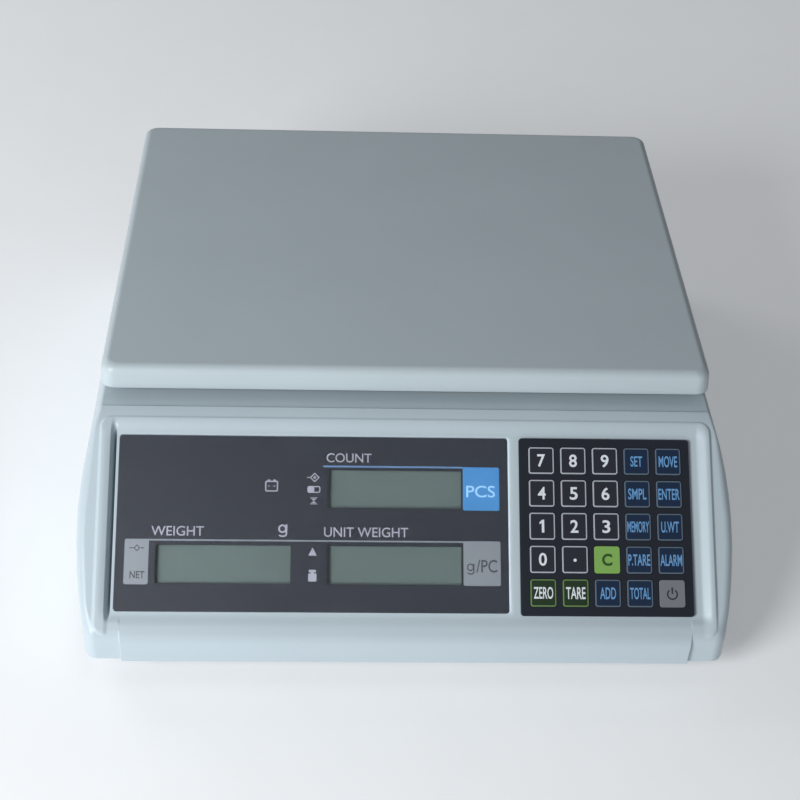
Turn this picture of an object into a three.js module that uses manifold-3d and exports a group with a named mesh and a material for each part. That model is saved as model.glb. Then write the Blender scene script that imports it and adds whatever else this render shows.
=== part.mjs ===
// A bench-top counting scale: a low two-shell plastic case with a sloping console, a lift-off platter on a
// cross-shaped support, a single-point load cell on a cast chassis, and four levelling feet.
// Millimetres, +Z up, +X to the right, -Y towards the user.
// The origin is on the bench under the case's centre.
import * as THREE from "three";
import { mergeVertices } from "three/addons/utils/BufferGeometryUtils.js";
import Module from "manifold-3d";

const wasm = await Module();
wasm.setup();

// ---------------------------------------------------------------- driving dimensions
const GAP = 0.3; // clearance between neighbouring pieces

const CASE = {
  halfWidth: 152.5, // at the widest, low on the sides
  halfWidthTop: 143, // at leanTop
  leanTop: 93,
  bulgeZ: 55, // the sides are upright below this height and lean in above it
  front: -165,
  back: 165,
  rim: 12, // lower edge of the top housing
  deck: 90, // level top, under the platter
  frontRadius: 8,
  taperAngle: 0.25, // how far the sides have turned in where they meet the front corners
  taper: 4.5, // how far the front corners' arcs stand inside the widest point
  backRadius: 12,
  wall: 2.6,
  backEdge: 6, // rounding between the deck and the back
};
// The console's frame starts on the slope's plane at this y and z, just above the rounded nose.
const CONSOLE = {
  y: -79,
  z: 93,
  angle: THREE.MathUtils.degToRad(38.4),
  noseStart: 13.6, // down the slope, where the plane turns into the nose
  noseRadius: 34.3,
  noseEnd: THREE.MathUtils.degToRad(15), // the nose's own slope where it stops, just above the deck
  wall: 3.2,
  lipRound: 8,
  apronHalfWidth: 130, // the middle of the front lip stands proud of its corners
  apronStep: 1.6,
};
// In the console's own frame x runs across, y up the slope, and z out of the slope.
const RIM = { x0: -142.7, x1: 142.7, bottom: -106.5, top: -5.2, radius: 5, z: 1.0 };
const POCKET = { x0: -138, x1: 138, bottom: -99, top: -11, radius: 3, z: -1.2 };
const LENS = { x0: -134, x1: 46.8, bottom: -96, top: -14, radius: 1.5, z0: -0.9, z1: 0.3 };
const MEMBRANE = { x0: 52, x1: 132.3, bottom: -97, top: -14, radius: 1.5, z0: -0.9, z1: 0.3 };
const KEY = {
  width: 11.9,
  height: 12.6,
  radius: 1.2,
  pitchX: 14.95,
  pitchY: 15.45,
  firstX: 62.5,
  firstY: -24.6,
  z0: -0.05,
  z1: 0.55,
  well: -0.6, // floor of the well that each key sinks into
  gap: 0.25,
};
const KEY_NAMES = [
  ["key_7", "key_8", "key_9", "key_set", "key_move"],
  ["key_4", "key_5", "key_6", "key_sample", "key_enter"],
  ["key_1", "key_2", "key_3", "key_memory", "key_unit_weight"],
  ["key_0", "key_point", "key_clear", "key_preset_tare", "key_alarm"],
  ["key_zero", "key_tare", "key_add", "key_total", "key_power"],
];
const LCD = { glassWidth: 65.4, glassHeight: 21.4, glassZ: -3.0, bodyWidth: 72, bodyHeight: 28, bodyZ: -8.1 };
const LCD_SHOULDER = -3.6; // front of the module's frame, behind the housing
const LCD_PLACES = {
  lcd_count: [-6.1, -38.8],
  lcd_unit_weight: [-6.1, -74.2],
  lcd_weight: [-84.8, -74.2],
};
const BOARD = { x0: -131, x1: 131, bottom: -94, top: -16, z0: -9.8, z1: -8.2 };
// What stands on the board's back: centre, size across, size down the slope, and depth.
const BOARD_BLOCKS = [
  { x: -81, y: -30.5, width: 22, height: 7, depth: 8 }, // load-cell connector
  { x: -43, y: -30.5, width: 14, height: 7, depth: 8 }, // battery connector
  { x: 88, y: -30, width: 20, height: 8, depth: 6 }, // power connector
  { x: -1, y: -53, width: 18, height: 18, depth: 2.2 }, // processor
];
const BOARD_CANS = [
  { x: 60, y: -60, radius: 6, depth: 7 }, // buzzer
  { x: 30, y: -36, radius: 4, depth: 9 }, // capacitor
];

const PLATTER = {
  width: 290, depth: 228, y: 44.6, z0: 95, z1: 107,
  edge: 4.5, cornerRadius: 6, wall: 2.5, top: 3,
};
const SOCKET = { radius: 12, z0: 100 }; // rings under the platter that locate it on the caps
const POST = { x: 100, y: 75, radius: 7, z1: 98, hole: 12 }; // from the platter's centre
const CAP = { radius: 8.5, z0: 94 };
const SUPPORT = { z0: 66, z1: 74, armWidth: 18, hubHalf: 19, bossZ: 62, ribWidth: 4, ribHeight: 3 };
const CELL = { length: 130, width: 30, z0: 40, z1: 62, boltInner: 43, boltOuter: 58, end: 25 };
const CELL_WINDOW = { radius: 8, halfSpan: 14, slot: 3 }; // double hole through the bending beam
const BOLT = { radius: 3, head: 5, headDepth: 5, key: 2.4, baseTip: 54, topTip: 46 };
const CHASSIS = {
  railX: 119,
  railWidth: 24,
  y0: -140,
  y1: 145,
  z0: 11.8,
  z1: 17.8,
  ribWidth: 3,
  ribTop: 25,
  barTop: 19.8,
  barHalfDepth: 18,
  bossRadius: 10,
  bossTop: 24,
};
const BASE = { z0: 9, floor: 2.5, wall: 2.5, top: 21, clearance: 0.3 };
const HOOK = { x: 80, halfWidth: 7, z0: 15.5, z1: 19.5, reach: 0.7, root: 3 };
const FOOT = {
  x: 119, front: -126, back: 130,
  stud: 3.9, studTop: 28, wheel: 13, z0: 3, z1: 8.4, pad: 12, knurls: 12,
};
const BATTERY = { width: 101, depth: 70, height: 47, y: 110, z0: 11.8, bayWall: 2, bayTop: 20.5 };
const BATTERY_DOOR = {
  width: 111.4, depth: 81.4, plugWidth: 103.4, plugDepth: 73.4,
  flangeTop: 10.1, plugTop: 11.4,
};
const SCREW = { x: 138, y: 146, radius: 1.8, head: 3.6, post: 5, seam: 25.8, tip: 42, countersink: 13.5 };
const VIAL = { x: 118, y: 44.6, radius: 8, flange: 10, depth: 8, flangeTop: 1.6 };
const JACK = { x: 105, z: 42, radius: 5.2, bore: 3.2, pin: 1, body: 7, bodyFront: 146, boreDepth: 10 };
const CABLE_RADIUS = 2;
const CABLE_ROUTE = [
  [-65.3, 44.6, 51],
  [-74, 44.6, 51],
  [-84, 38, 49],
  [-88, 20, 46],
  [-88, -20, 42],
  [-86, -55, 41],
  [-82.5, -77, 44],
  [-81, -86, 52.8],
  [-81, -91.5, 59.7],
];

// ---------------------------------------------------------------- materials
const material = (color, roughness, metalness = 0) =>
  new THREE.MeshStandardMaterial({ color, roughness, metalness });
const MATERIALS = {
  case: material(0xb7c2ca, 0.42),
  platter: material(0xaab4b9, 0.45),
  base: material(0x8f979c, 0.6),
  lens: material(0x2b2d35, 0.08),
  membrane: material(0x22262e, 0.5),
  numberKey: material(0x23262e, 0.5),
  functionKey: material(0x1b2f55, 0.5),
  zeroKey: material(0x2a4425, 0.5),
  clearKey: material(0x7cb04a, 0.5),
  powerKey: material(0x767b82, 0.5),
  lcd: material(0x6c7f7d, 0.3),
  board: material(0x1f5a35, 0.6),
  aluminium: material(0xb4b7ba, 0.4, 0.9),
  castAluminium: material(0x9a9da0, 0.55, 0.9),
  steel: material(0x8d9094, 0.35, 1),
  rubber: material(0x1d1d1f, 0.85),
  blackPlastic: material(0x26272a, 0.5),
  vial: material(0xc9e08a, 0.1),
};

// ---------------------------------------------------------------- geometry helpers
function solid(geometry) {
  const bare = new THREE.BufferGeometry().setAttribute("position", geometry.getAttribute("position"));
  bare.setIndex(geometry.index);
  const merged = mergeVertices(bare, 1e-4);
  const mesh = new wasm.Mesh({
    numProp: 3,
    vertProperties: merged.attributes.position.array,
    triVerts: new Uint32Array(merged.index.array),
  });
  return new wasm.Manifold(mesh);
}

function geometryOf(manifold) {
  const mesh = manifold.getMesh();
  const geometry = new THREE.BufferGeometry();
  geometry.setAttribute("position", new THREE.BufferAttribute(mesh.vertProperties, 3));
  geometry.setIndex(new THREE.BufferAttribute(mesh.triVerts, 1));
  return geometry;
}

const union = (solids) => solids.reduce((sum, next) => sum.add(next));

// Box from corner to corner.
function box(x0, x1, y0, y1, z0, z1) {
  const geometry = new THREE.BoxGeometry(x1 - x0, y1 - y0, z1 - z0);
  return solid(geometry.translate((x0 + x1) / 2, (y0 + y1) / 2, (z0 + z1) / 2));
}

// Box centred on a point in plan.
const block = (x, y, width, depth, z0, z1) =>
  box(x - width / 2, x + width / 2, y - depth / 2, y + depth / 2, z0, z1);

// Upright cylinder.
function cylinder(radius, x, y, z0, z1, sides = 12) {
  const geometry = new THREE.CylinderGeometry(radius, radius, z1 - z0, sides).rotateX(Math.PI / 2);
  return solid(geometry.translate(x, y, (z0 + z1) / 2));
}

// Cylinder along y.
function barrel(radius, x, z, y0, y1, sides = 20) {
  const geometry = new THREE.CylinderGeometry(radius, radius, y1 - y0, sides);
  return solid(geometry.translate(x, (y0 + y1) / 2, z));
}

function roundedRectangle(x0, x1, y0, y1, radius) {
  const shape = new THREE.Shape();
  shape.absarc(x1 - radius, y0 + radius, radius, -Math.PI / 2, 0, false);
  shape.absarc(x1 - radius, y1 - radius, radius, 0, Math.PI / 2, false);
  shape.absarc(x0 + radius, y1 - radius, radius, Math.PI / 2, Math.PI, false);
  shape.absarc(x0 + radius, y0 + radius, radius, Math.PI, 1.5 * Math.PI, false);
  return shape;
}

function plate(shape, z0, z1, curveSegments = 3) {
  const geometry = new THREE.ExtrudeGeometry(shape, { depth: z1 - z0, bevelEnabled: false, curveSegments });
  return solid(geometry.translate(0, 0, z0));
}

const roundedPlate = (r, z0, z1) => plate(roundedRectangle(r.x0, r.x1, r.bottom, r.top, r.radius), z0, z1);

// A profile drawn in x and z, pushed along y.
function alongY(shape, y0, y1) {
  const geometry = new THREE.ExtrudeGeometry(shape, { depth: y1 - y0, bevelEnabled: false });
  return solid(geometry.rotateX(Math.PI / 2).translate(0, y1, 0));
}

// A profile drawn in y and z, pushed along x.
function alongX(shape, x0, x1) {
  const options = { depth: x1 - x0, bevelEnabled: false, curveSegments: 4 };
  const geometry = new THREE.ExtrudeGeometry(shape, options);
  return solid(geometry.rotateX(Math.PI / 2).rotateZ(Math.PI / 2).translate(x0, 0, 0));
}

const parts = new THREE.Group();
const consoleGroup = new THREE.Group();
consoleGroup.position.set(0, CONSOLE.y, CONSOLE.z);
consoleGroup.rotation.x = CONSOLE.angle;
consoleGroup.updateMatrix();
parts.add(consoleGroup);

const inConsole = (manifold) => solid(geometryOf(manifold).applyMatrix4(consoleGroup.matrix));

function addPart(name, manifold, finish, [x, y, z] = [0, 0, 0], parent = parts) {
  const mesh = new THREE.Mesh(geometryOf(manifold), finish);
  mesh.name = name;
  mesh.position.set(x, y, z);
  parent.add(mesh);
}

// ---------------------------------------------------------------- places that several pieces share
const postPlaces = {
  front_left: [-POST.x, PLATTER.y - POST.y],
  front_right: [POST.x, PLATTER.y - POST.y],
  rear_left: [-POST.x, PLATTER.y + POST.y],
  rear_right: [POST.x, PLATTER.y + POST.y],
};
const footPlaces = {
  front_left: [-FOOT.x, FOOT.front],
  front_right: [FOOT.x, FOOT.front],
  rear_left: [-FOOT.x, FOOT.back],
  rear_right: [FOOT.x, FOOT.back],
};
const screwPlaces = { left: [-SCREW.x, SCREW.y], right: [SCREW.x, SCREW.y] };
const boltPlaces = { inner: CELL.boltInner, outer: CELL.boltOuter };
const cornerFront = CASE.front + CONSOLE.apronStep; // front of the case on either side of the apron
const at = (places, make) => Object.values(places).map(([x, y]) => make(x, y));

// ---------------------------------------------------------------- case
// Seen from above: rounded back corners, and sides that turn in towards the front corners.
function planOutline(inset) {
  const half = CASE.halfWidth - inset;
  const back = CASE.back - inset;
  const backRadius = CASE.backRadius - inset;
  const radius = CASE.frontRadius - inset;
  const cornerX = CASE.halfWidth - CASE.taper - CASE.frontRadius;
  const cornerY = cornerFront + CASE.frontRadius;
  const turn = CASE.taperAngle;
  const meetX = cornerX + radius * Math.cos(turn);
  const meetY = cornerY - radius * Math.sin(turn);
  const bendY = meetY + (half - meetX) / Math.tan(turn);
  const shape = new THREE.Shape();
  shape.absarc(half - backRadius, back - backRadius, backRadius, 0, Math.PI / 2, false);
  shape.absarc(backRadius - half, back - backRadius, backRadius, Math.PI / 2, Math.PI, false);
  shape.lineTo(-half, 2 * bendY - meetY);
  shape.quadraticCurveTo(-half, bendY, -meetX, meetY);
  shape.absarc(-cornerX, cornerY, radius, Math.PI + turn, 1.5 * Math.PI, false);
  shape.absarc(cornerX, cornerY, radius, 1.5 * Math.PI, 2 * Math.PI - turn, false);
  shape.quadraticCurveTo(half, bendY, half, 2 * bendY - meetY);
  return shape;
}

// Seen from the front: upright sides that lean in above the bulge, along a parabola.
function frontProfile(inset, z0) {
  const steps = 7;
  const topZ = CASE.leanTop - inset;
  const right = [new THREE.Vector2(CASE.halfWidth - inset, z0)];
  for (let i = 0; i <= steps; i += 1) {
    const z = CASE.bulgeZ + (i / steps) * (topZ - CASE.bulgeZ);
    const climb = (z - CASE.bulgeZ) / (CASE.leanTop - CASE.bulgeZ);
    const lean = climb ** 2 * (CASE.halfWidth - CASE.halfWidthTop);
    right.push(new THREE.Vector2(CASE.halfWidth - inset - lean, z));
  }
  const left = right.map((point) => new THREE.Vector2(-point.x, point.y)).reverse();
  return new THREE.Shape([...right, ...left]);
}

// Seen from the side: front lip, slope, nose, deck and back.
function sideProfile(frontY, inset, slopeInset, z0) {
  const pitch = Math.tan(CONSOLE.angle);
  const slopeZ = (y) => CONSOLE.z + (y - CONSOLE.y) * pitch - slopeInset / Math.cos(CONSOLE.angle);
  const lipY = frontY + inset;
  const lipRadius = CONSOLE.lipRound - inset;
  const lipStart = slopeZ(lipY) - lipRadius * Math.tan((Math.PI / 2 - CONSOLE.angle) / 2);
  const deckZ = CASE.deck - inset;
  const noseY =
    CONSOLE.y - CONSOLE.noseStart * Math.cos(CONSOLE.angle) + CONSOLE.noseRadius * Math.sin(CONSOLE.angle);
  const noseZ =
    CONSOLE.z - CONSOLE.noseStart * Math.sin(CONSOLE.angle) - CONSOLE.noseRadius * Math.cos(CONSOLE.angle);
  const noseRadius = CONSOLE.noseRadius - slopeInset;
  const noseTop = inset ? Math.PI - Math.asin((deckZ - noseZ) / noseRadius) : Math.PI / 2 + CONSOLE.noseEnd;
  const backY = CASE.back - inset;
  const backRadius = CASE.backEdge - inset;
  const shape = new THREE.Shape();
  shape.moveTo(backY, z0);
  shape.lineTo(backY, deckZ - backRadius);
  shape.absarc(backY - backRadius, deckZ - backRadius, backRadius, 0, Math.PI / 2, false);
  shape.lineTo(noseY + noseRadius * Math.cos(noseTop), deckZ);
  shape.absarc(noseY, noseZ, noseRadius, noseTop, Math.PI / 2 + CONSOLE.angle, false);
  shape.absarc(lipY + lipRadius, lipStart, lipRadius, Math.PI / 2 + CONSOLE.angle, Math.PI, false);
  shape.lineTo(lipY, z0);
  return shape;
}

function caseForm(inset, slopeInset, z0) {
  const sides = alongY(frontProfile(inset, z0), CASE.front - 1, CASE.back + 1);
  const profile = sideProfile(cornerFront, inset, slopeInset, z0);
  const lengthways = alongX(profile, -CASE.halfWidth - 1, CASE.halfWidth + 1);
  return sides.intersect(lengthways).intersect(plate(planOutline(inset), z0, CASE.leanTop, 4));
}

// Two hooks on the base's front upstand, and the pockets for them in the lip.
function hooks(grow) {
  const wallY = cornerFront + CASE.wall;
  return [-HOOK.x, HOOK.x].map((x) => {
    const half = HOOK.halfWidth + grow;
    const reach = HOOK.reach + grow;
    return box(x - half, x + half, wallY - reach, wallY + HOOK.root, HOOK.z0 - grow, HOOK.z1 + grow);
  });
}

function topHousing() {
  const apronProfile = sideProfile(CASE.front, 0, 0, CASE.rim);
  const lipTop = CASE.front + 30;
  const lipOnly = box(-CASE.halfWidth, CASE.halfWidth, CASE.front - 1, lipTop, CASE.rim, CASE.deck);
  const apron = alongX(apronProfile, -CONSOLE.apronHalfWidth, CONSOLE.apronHalfWidth).intersect(lipOnly);
  const screwPosts = at(screwPlaces, (x, y) => cylinder(SCREW.post, x, y, SCREW.seam, CASE.deck));
  const cavity = caseForm(CASE.wall, CONSOLE.wall, CASE.rim - 5).subtract(union(screwPosts));
  const lcdOpenings = Object.values(LCD_PLACES).map(([x, y]) =>
    inConsole(block(x, y, LCD.glassWidth + 2 * GAP, LCD.glassHeight + 2 * GAP, -2 * CONSOLE.wall, 3)),
  );
  const cuts = [
    ...lcdOpenings,
    inConsole(roundedPlate(POCKET, POCKET.z, 4)),
    ...at(postPlaces, (x, y) => cylinder(POST.hole, x, y, CASE.deck - 8, CASE.deck + 1, 24)),
    ...at(screwPlaces, (x, y) => cylinder(SCREW.radius + GAP, x, y, SCREW.seam - 1, SCREW.tip + 2)),
    cylinder(VIAL.radius + GAP, VIAL.x, VIAL.y, CASE.deck - 8, CASE.deck + 1, 20),
    barrel(JACK.radius + GAP, JACK.x, JACK.z, CASE.back - 10, CASE.back + 1),
    ...hooks(GAP),
  ];
  const raisedForm = alongX(sideProfile(CASE.front, 0, -RIM.z, CASE.rim), -CASE.halfWidth, CASE.halfWidth);
  const raisedRim = inConsole(roundedPlate(RIM, -2, 2)).intersect(raisedForm);
  return union([caseForm(0, 0, CASE.rim), apron, raisedRim]).subtract(cavity).subtract(union(cuts));
}

const batteryBox = (width, depth, z0, z1) => block(0, BATTERY.y, width, depth, z0, z1);

function baseHousing() {
  const inset = CASE.wall + BASE.clearance;
  const floorTop = BASE.z0 + BASE.floor;
  const outside = plate(planOutline(inset), BASE.z0, BASE.top, 4);
  const shell = outside.subtract(plate(planOutline(inset + BASE.wall), floorTop, BASE.top + 1, 4));
  const bay = batteryBox(
    BATTERY.width + 2 + 2 * BATTERY.bayWall,
    BATTERY.depth + 2 + 2 * BATTERY.bayWall,
    BASE.z0 + 1,
    BATTERY.bayTop,
  ).subtract(batteryBox(BATTERY.width + 2, BATTERY.depth + 2, BASE.z0, BATTERY.bayTop + 1));
  const bosses = at(screwPlaces, (x, y) => cylinder(SCREW.post, x, y, BASE.z0 + 1, SCREW.seam - GAP));
  const door = BATTERY_DOOR;
  const cuts = [
    ...at(screwPlaces, (x, y) => cylinder(SCREW.radius + GAP, x, y, 0, SCREW.tip)),
    ...at(screwPlaces, (x, y) => cylinder(SCREW.head + GAP, x, y, 0, SCREW.countersink)),
    ...at(footPlaces, (x, y) => cylinder(FOOT.stud + 2, x, y, 0, BASE.top, 16)),
    batteryBox(door.width + 2 * GAP, door.depth + 2 * GAP, 0, door.flangeTop + GAP),
    batteryBox(door.plugWidth + 2 * GAP, door.plugDepth + 2 * GAP, door.flangeTop, floorTop + 1),
  ];
  return union([shell, bay, ...bosses, ...hooks(0)]).subtract(union(cuts));
}

function batteryDoor() {
  const door = BATTERY_DOOR;
  const flange = batteryBox(door.width, door.depth, BASE.z0, door.flangeTop);
  const plug = batteryBox(door.plugWidth, door.plugDepth, door.flangeTop - 0.1, door.plugTop);
  const fingerDip = block(0, BATTERY.y + door.depth / 2 - 8, 18, 8, BASE.z0 - 1, BASE.z0 + 0.7);
  return flange.add(plug).subtract(fingerDip);
}

// Countersunk cross-head screw, up from below.
function housingScrew() {
  const headTop = SCREW.countersink - GAP;
  const headBottom = headTop - 2.8;
  const shank = cylinder(SCREW.radius, 0, 0, headTop - 1, SCREW.tip);
  const head = cylinder(SCREW.head, 0, 0, headBottom, headTop);
  const recess = block(0, 0, 4.4, 0.8, 0, headBottom + 1.2).add(block(0, 0, 0.8, 4.4, 0, headBottom + 1.2));
  return shank.add(head).subtract(recess);
}

addPart("top_housing", topHousing(), MATERIALS.case);
addPart("base_housing", baseHousing(), MATERIALS.base);
addPart("battery_door", batteryDoor(), MATERIALS.base);
for (const [side, [x, y]] of Object.entries(screwPlaces)) {
  addPart(`housing_screw_${side}`, housingScrew(), MATERIALS.steel, [x, y, 0]);
}

// ---------------------------------------------------------------- console pieces
const KEYS = KEY_NAMES.flatMap((names, row) =>
  names.map((name, column) => ({
    name,
    row,
    column,
    x: KEY.firstX + column * KEY.pitchX,
    y: KEY.firstY - row * KEY.pitchY,
  })),
);

function keyPlate(x, y, grow, z0, z1) {
  const halfWidth = KEY.width / 2 + grow;
  const halfHeight = KEY.height / 2 + grow;
  const radius = KEY.radius + grow;
  const outline = roundedRectangle(x - halfWidth, x + halfWidth, y - halfHeight, y + halfHeight, radius);
  return plate(outline, z0, z1, 1);
}

function membrane() {
  const wells = KEYS.map(({ x, y }) => keyPlate(x, y, KEY.gap, KEY.well, MEMBRANE.z1 + 1));
  return roundedPlate(MEMBRANE, MEMBRANE.z0, MEMBRANE.z1).subtract(union(wells));
}

function keyFinish({ name, row, column }) {
  if (name === "key_power") return MATERIALS.powerKey;
  if (name === "key_clear") return MATERIALS.clearKey;
  if (row === 4 && column < 2) return MATERIALS.zeroKey;
  return column > 2 || row === 4 ? MATERIALS.functionKey : MATERIALS.numberKey;
}

// A frame behind the housing, and the glass that looks out through its opening.
function lcdModule([x, y]) {
  const frame = block(x, y, LCD.bodyWidth, LCD.bodyHeight, LCD.bodyZ, LCD_SHOULDER);
  return frame.add(block(x, y, LCD.glassWidth, LCD.glassHeight, LCD_SHOULDER - 1, LCD.glassZ));
}

function mainBoard() {
  const back = BOARD.z0;
  return union([
    box(BOARD.x0, BOARD.x1, BOARD.bottom, BOARD.top, BOARD.z0, BOARD.z1),
    ...BOARD_BLOCKS.map((b) => block(b.x, b.y, b.width, b.height, back - b.depth, back + 0.5)),
    ...BOARD_CANS.map((c) => cylinder(c.radius, c.x, c.y, back - c.depth, back + 0.5)),
  ]);
}

const origin = [0, 0, 0];
addPart("display_lens", roundedPlate(LENS, LENS.z0, LENS.z1), MATERIALS.lens, origin, consoleGroup);
for (const [name, place] of Object.entries(LCD_PLACES)) {
  addPart(name, lcdModule(place), MATERIALS.lcd, origin, consoleGroup);
}
addPart("main_board", mainBoard(), MATERIALS.board, origin, consoleGroup);
addPart("keypad_membrane", membrane(), MATERIALS.membrane, origin, consoleGroup);
for (const key of KEYS) {
  addPart(key.name, keyPlate(0, 0, 0, KEY.z0, KEY.z1), keyFinish(key), [key.x, key.y, 0], consoleGroup);
}

// ---------------------------------------------------------------- platter and its support
function platter() {
  const { width, depth, y, z0, z1, edge, cornerRadius, wall, top } = PLATTER;
  const halfX = width / 2 - edge;
  const halfY = depth / 2 - edge;
  const outline = roundedRectangle(-halfX, halfX, -halfY, halfY, cornerRadius - edge);
  const body = new THREE.ExtrudeGeometry(outline, {
    depth: z1 - z0,
    bevelSize: edge,
    bevelThickness: edge,
    bevelSegments: 3,
    curveSegments: 3,
  }).translate(0, y, z0 - edge);
  const pillow = solid(body).intersect(box(-width, width, y - depth, y + depth, z0, z1 + 1));
  const hollow = block(0, y, width - 2 * wall, depth - 2 * wall, z0 - 1, z1 - top);
  const sockets = at(postPlaces, (x, py) => {
    const bore = cylinder(CAP.radius + 0.5, x, py, z0, z1 - top, 16);
    return cylinder(SOCKET.radius, x, py, SOCKET.z0, z1 - 1, 20).subtract(bore);
  });
  return pillow.subtract(hollow).add(union(sockets));
}

// Cross-shaped casting: four ribbed arms, each ending in a post that passes through the deck.
function platterSupport() {
  const { z0, z1, armWidth, hubHalf, bossZ, ribWidth, ribHeight } = SUPPORT;
  const reach = 2 * Math.hypot(POST.x, POST.y);
  const arms = [1, -1].flatMap((side) => {
    const angle = side * Math.atan2(POST.y, POST.x);
    const bar = new THREE.BoxGeometry(reach, armWidth, z1 - z0).rotateZ(angle);
    const rib = new THREE.BoxGeometry(reach - 30, ribWidth, 2 * ribHeight).rotateZ(angle);
    return [bar.translate(0, PLATTER.y, (z0 + z1) / 2), rib.translate(0, PLATTER.y, z1)].map(solid);
  });
  const free = CELL.length / 2;
  const hub = box(-30, free + 3, PLATTER.y - hubHalf, PLATTER.y + hubHalf, z0, z1 + 4);
  const boss = block(free - CELL.end / 2, PLATTER.y, CELL.end, CELL.width, bossZ + GAP, z0 + 1);
  const posts = at(postPlaces, (x, y) => cylinder(POST.radius, x, y, z0, POST.z1, 16));
  const postFeet = at(postPlaces, (x, y) => cylinder(armWidth / 2 + 2, x, y, z0, z1, 16));
  const bores = Object.values(boltPlaces).flatMap((x) => [
    cylinder(BOLT.radius + GAP, x, PLATTER.y, CELL.z1 - 1, z1 + 5),
    cylinder(BOLT.head + GAP, x, PLATTER.y, z1 - 2, z1 + 5),
  ]);
  return union([...arms, hub, boss, ...posts, ...postFeet]).subtract(union(bores));
}

function supportCap() {
  const outside = cylinder(CAP.radius, 0, 0, CAP.z0, PLATTER.z1 - PLATTER.top - GAP, 16);
  return outside.subtract(cylinder(POST.radius + GAP, 0, 0, CAP.z0 - 1, POST.z1 + GAP, 16));
}

addPart("platter", platter(), MATERIALS.platter);
addPart("platter_support", platterSupport(), MATERIALS.castAluminium);
for (const [corner, [x, y]] of Object.entries(postPlaces)) {
  addPart(`support_cap_${corner}`, supportCap(), MATERIALS.rubber, [x, y, 0]);
}

// ---------------------------------------------------------------- load cell and chassis
// Two round holes joined by a slot leave the four thin sections that flex.
function loadCell() {
  const { length, width, z0, z1, boltInner, boltOuter } = CELL;
  const middle = (z0 + z1) / 2;
  const y0 = PLATTER.y - width;
  const y1 = PLATTER.y + width;
  const { radius, halfSpan, slot } = CELL_WINDOW;
  const holes = [-halfSpan, halfSpan].map((x) => barrel(radius, x, middle, y0, y1, 16));
  const link = box(-halfSpan, halfSpan, y0, y1, middle - slot, middle + slot);
  const bores = [-boltOuter, -boltInner, boltInner, boltOuter].map((x) =>
    cylinder(BOLT.radius + GAP, x, PLATTER.y, z0 - 1, z1 + 1),
  );
  return block(0, PLATTER.y, length, width, z0, z1).subtract(union([...holes, link, ...bores]));
}

// Hexagon-socket bolt from the outer face of its head to its tip. Negative length points down.
function bolt(headZ, tipZ) {
  const toTip = Math.sign(tipZ - headZ);
  const upright = (radius, a, b, sides) => cylinder(radius, 0, 0, Math.min(a, b), Math.max(a, b), sides);
  const head = upright(BOLT.head, headZ, headZ + toTip * BOLT.headDepth);
  const shank = upright(BOLT.radius, headZ + toTip * (BOLT.headDepth - 1), tipZ);
  return head.add(shank).subtract(upright(BOLT.key, headZ - toTip, headZ + toTip * 2.5, 6));
}

// Two rails carry the feet, and a cross bar carries the load cell's fixed end on a pedestal.
function chassis() {
  const { railX, railWidth, y0, y1, z0, z1, ribWidth, ribTop } = CHASSIS;
  const { barTop, barHalfDepth, bossRadius, bossTop } = CHASSIS;
  const middle = (y0 + y1) / 2;
  const rails = [-1, 1].flatMap((side) => [
    block(side * railX, middle, railWidth, y1 - y0, z0, z1),
    block(side * (railX - railWidth / 2 + ribWidth / 2), middle, ribWidth, y1 - y0, z1 - 1, ribTop),
  ]);
  const bar = block(0, PLATTER.y, 2 * railX, 2 * barHalfDepth, z0, barTop);
  const fixed = -CELL.length / 2;
  const pedestal = block(fixed + CELL.end / 2, PLATTER.y, CELL.end, CELL.width, z0, CELL.z0 - GAP);
  const overloadStop = cylinder(6, -fixed - 8, PLATTER.y, z0, CELL.z0 - 0.8, 16);
  const bosses = at(footPlaces, (x, y) => cylinder(bossRadius, x, y, z0, bossTop, 16));
  const bores = [
    ...at(footPlaces, (x, y) => cylinder(FOOT.stud + GAP, x, y, 0, bossTop + 1, 16)),
    ...Object.values(boltPlaces).flatMap((x) => [
      cylinder(BOLT.radius + GAP, -x, PLATTER.y, 0, CELL.z0),
      cylinder(BOLT.head + GAP, -x, PLATTER.y, 0, z1),
    ]),
  ];
  return union([...rails, bar, pedestal, overloadStop, ...bosses]).subtract(union(bores));
}

addPart("load_cell", loadCell(), MATERIALS.aluminium);
addPart("chassis", chassis(), MATERIALS.castAluminium);
for (const [place, x] of Object.entries(boltPlaces)) {
  const baseHead = CHASSIS.z0 + 0.5;
  const topHead = SUPPORT.z1 + 3.3;
  addPart(`load_cell_base_bolt_${place}`, bolt(baseHead, BOLT.baseTip), MATERIALS.steel, [-x, PLATTER.y, 0]);
  addPart(`load_cell_top_bolt_${place}`, bolt(topHead, BOLT.topTip), MATERIALS.steel, [x, PLATTER.y, 0]);
}

// ---------------------------------------------------------------- levelling feet
// The stud and its knurled wheel turn on a rubber pad that stays still on the bench.
function footScrew() {
  const rim = new THREE.Shape();
  for (let i = 0; i < 2 * FOOT.knurls; i += 1) {
    const angle = (i * Math.PI) / FOOT.knurls;
    const radius = FOOT.wheel - (i % 2);
    const move = i ? "lineTo" : "moveTo";
    rim[move](radius * Math.cos(angle), radius * Math.sin(angle));
  }
  return plate(rim, FOOT.z0, FOOT.z1).add(cylinder(FOOT.stud, 0, 0, FOOT.z0 + 1, FOOT.studTop));
}

for (const [corner, [x, y]] of Object.entries(footPlaces)) {
  addPart(`foot_screw_${corner}`, footScrew(), MATERIALS.blackPlastic, [x, y, 0]);
  addPart(`foot_pad_${corner}`, cylinder(FOOT.pad, 0, 0, 0, FOOT.z0 - GAP, 20), MATERIALS.rubber, [x, y, 0]);
}

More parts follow.
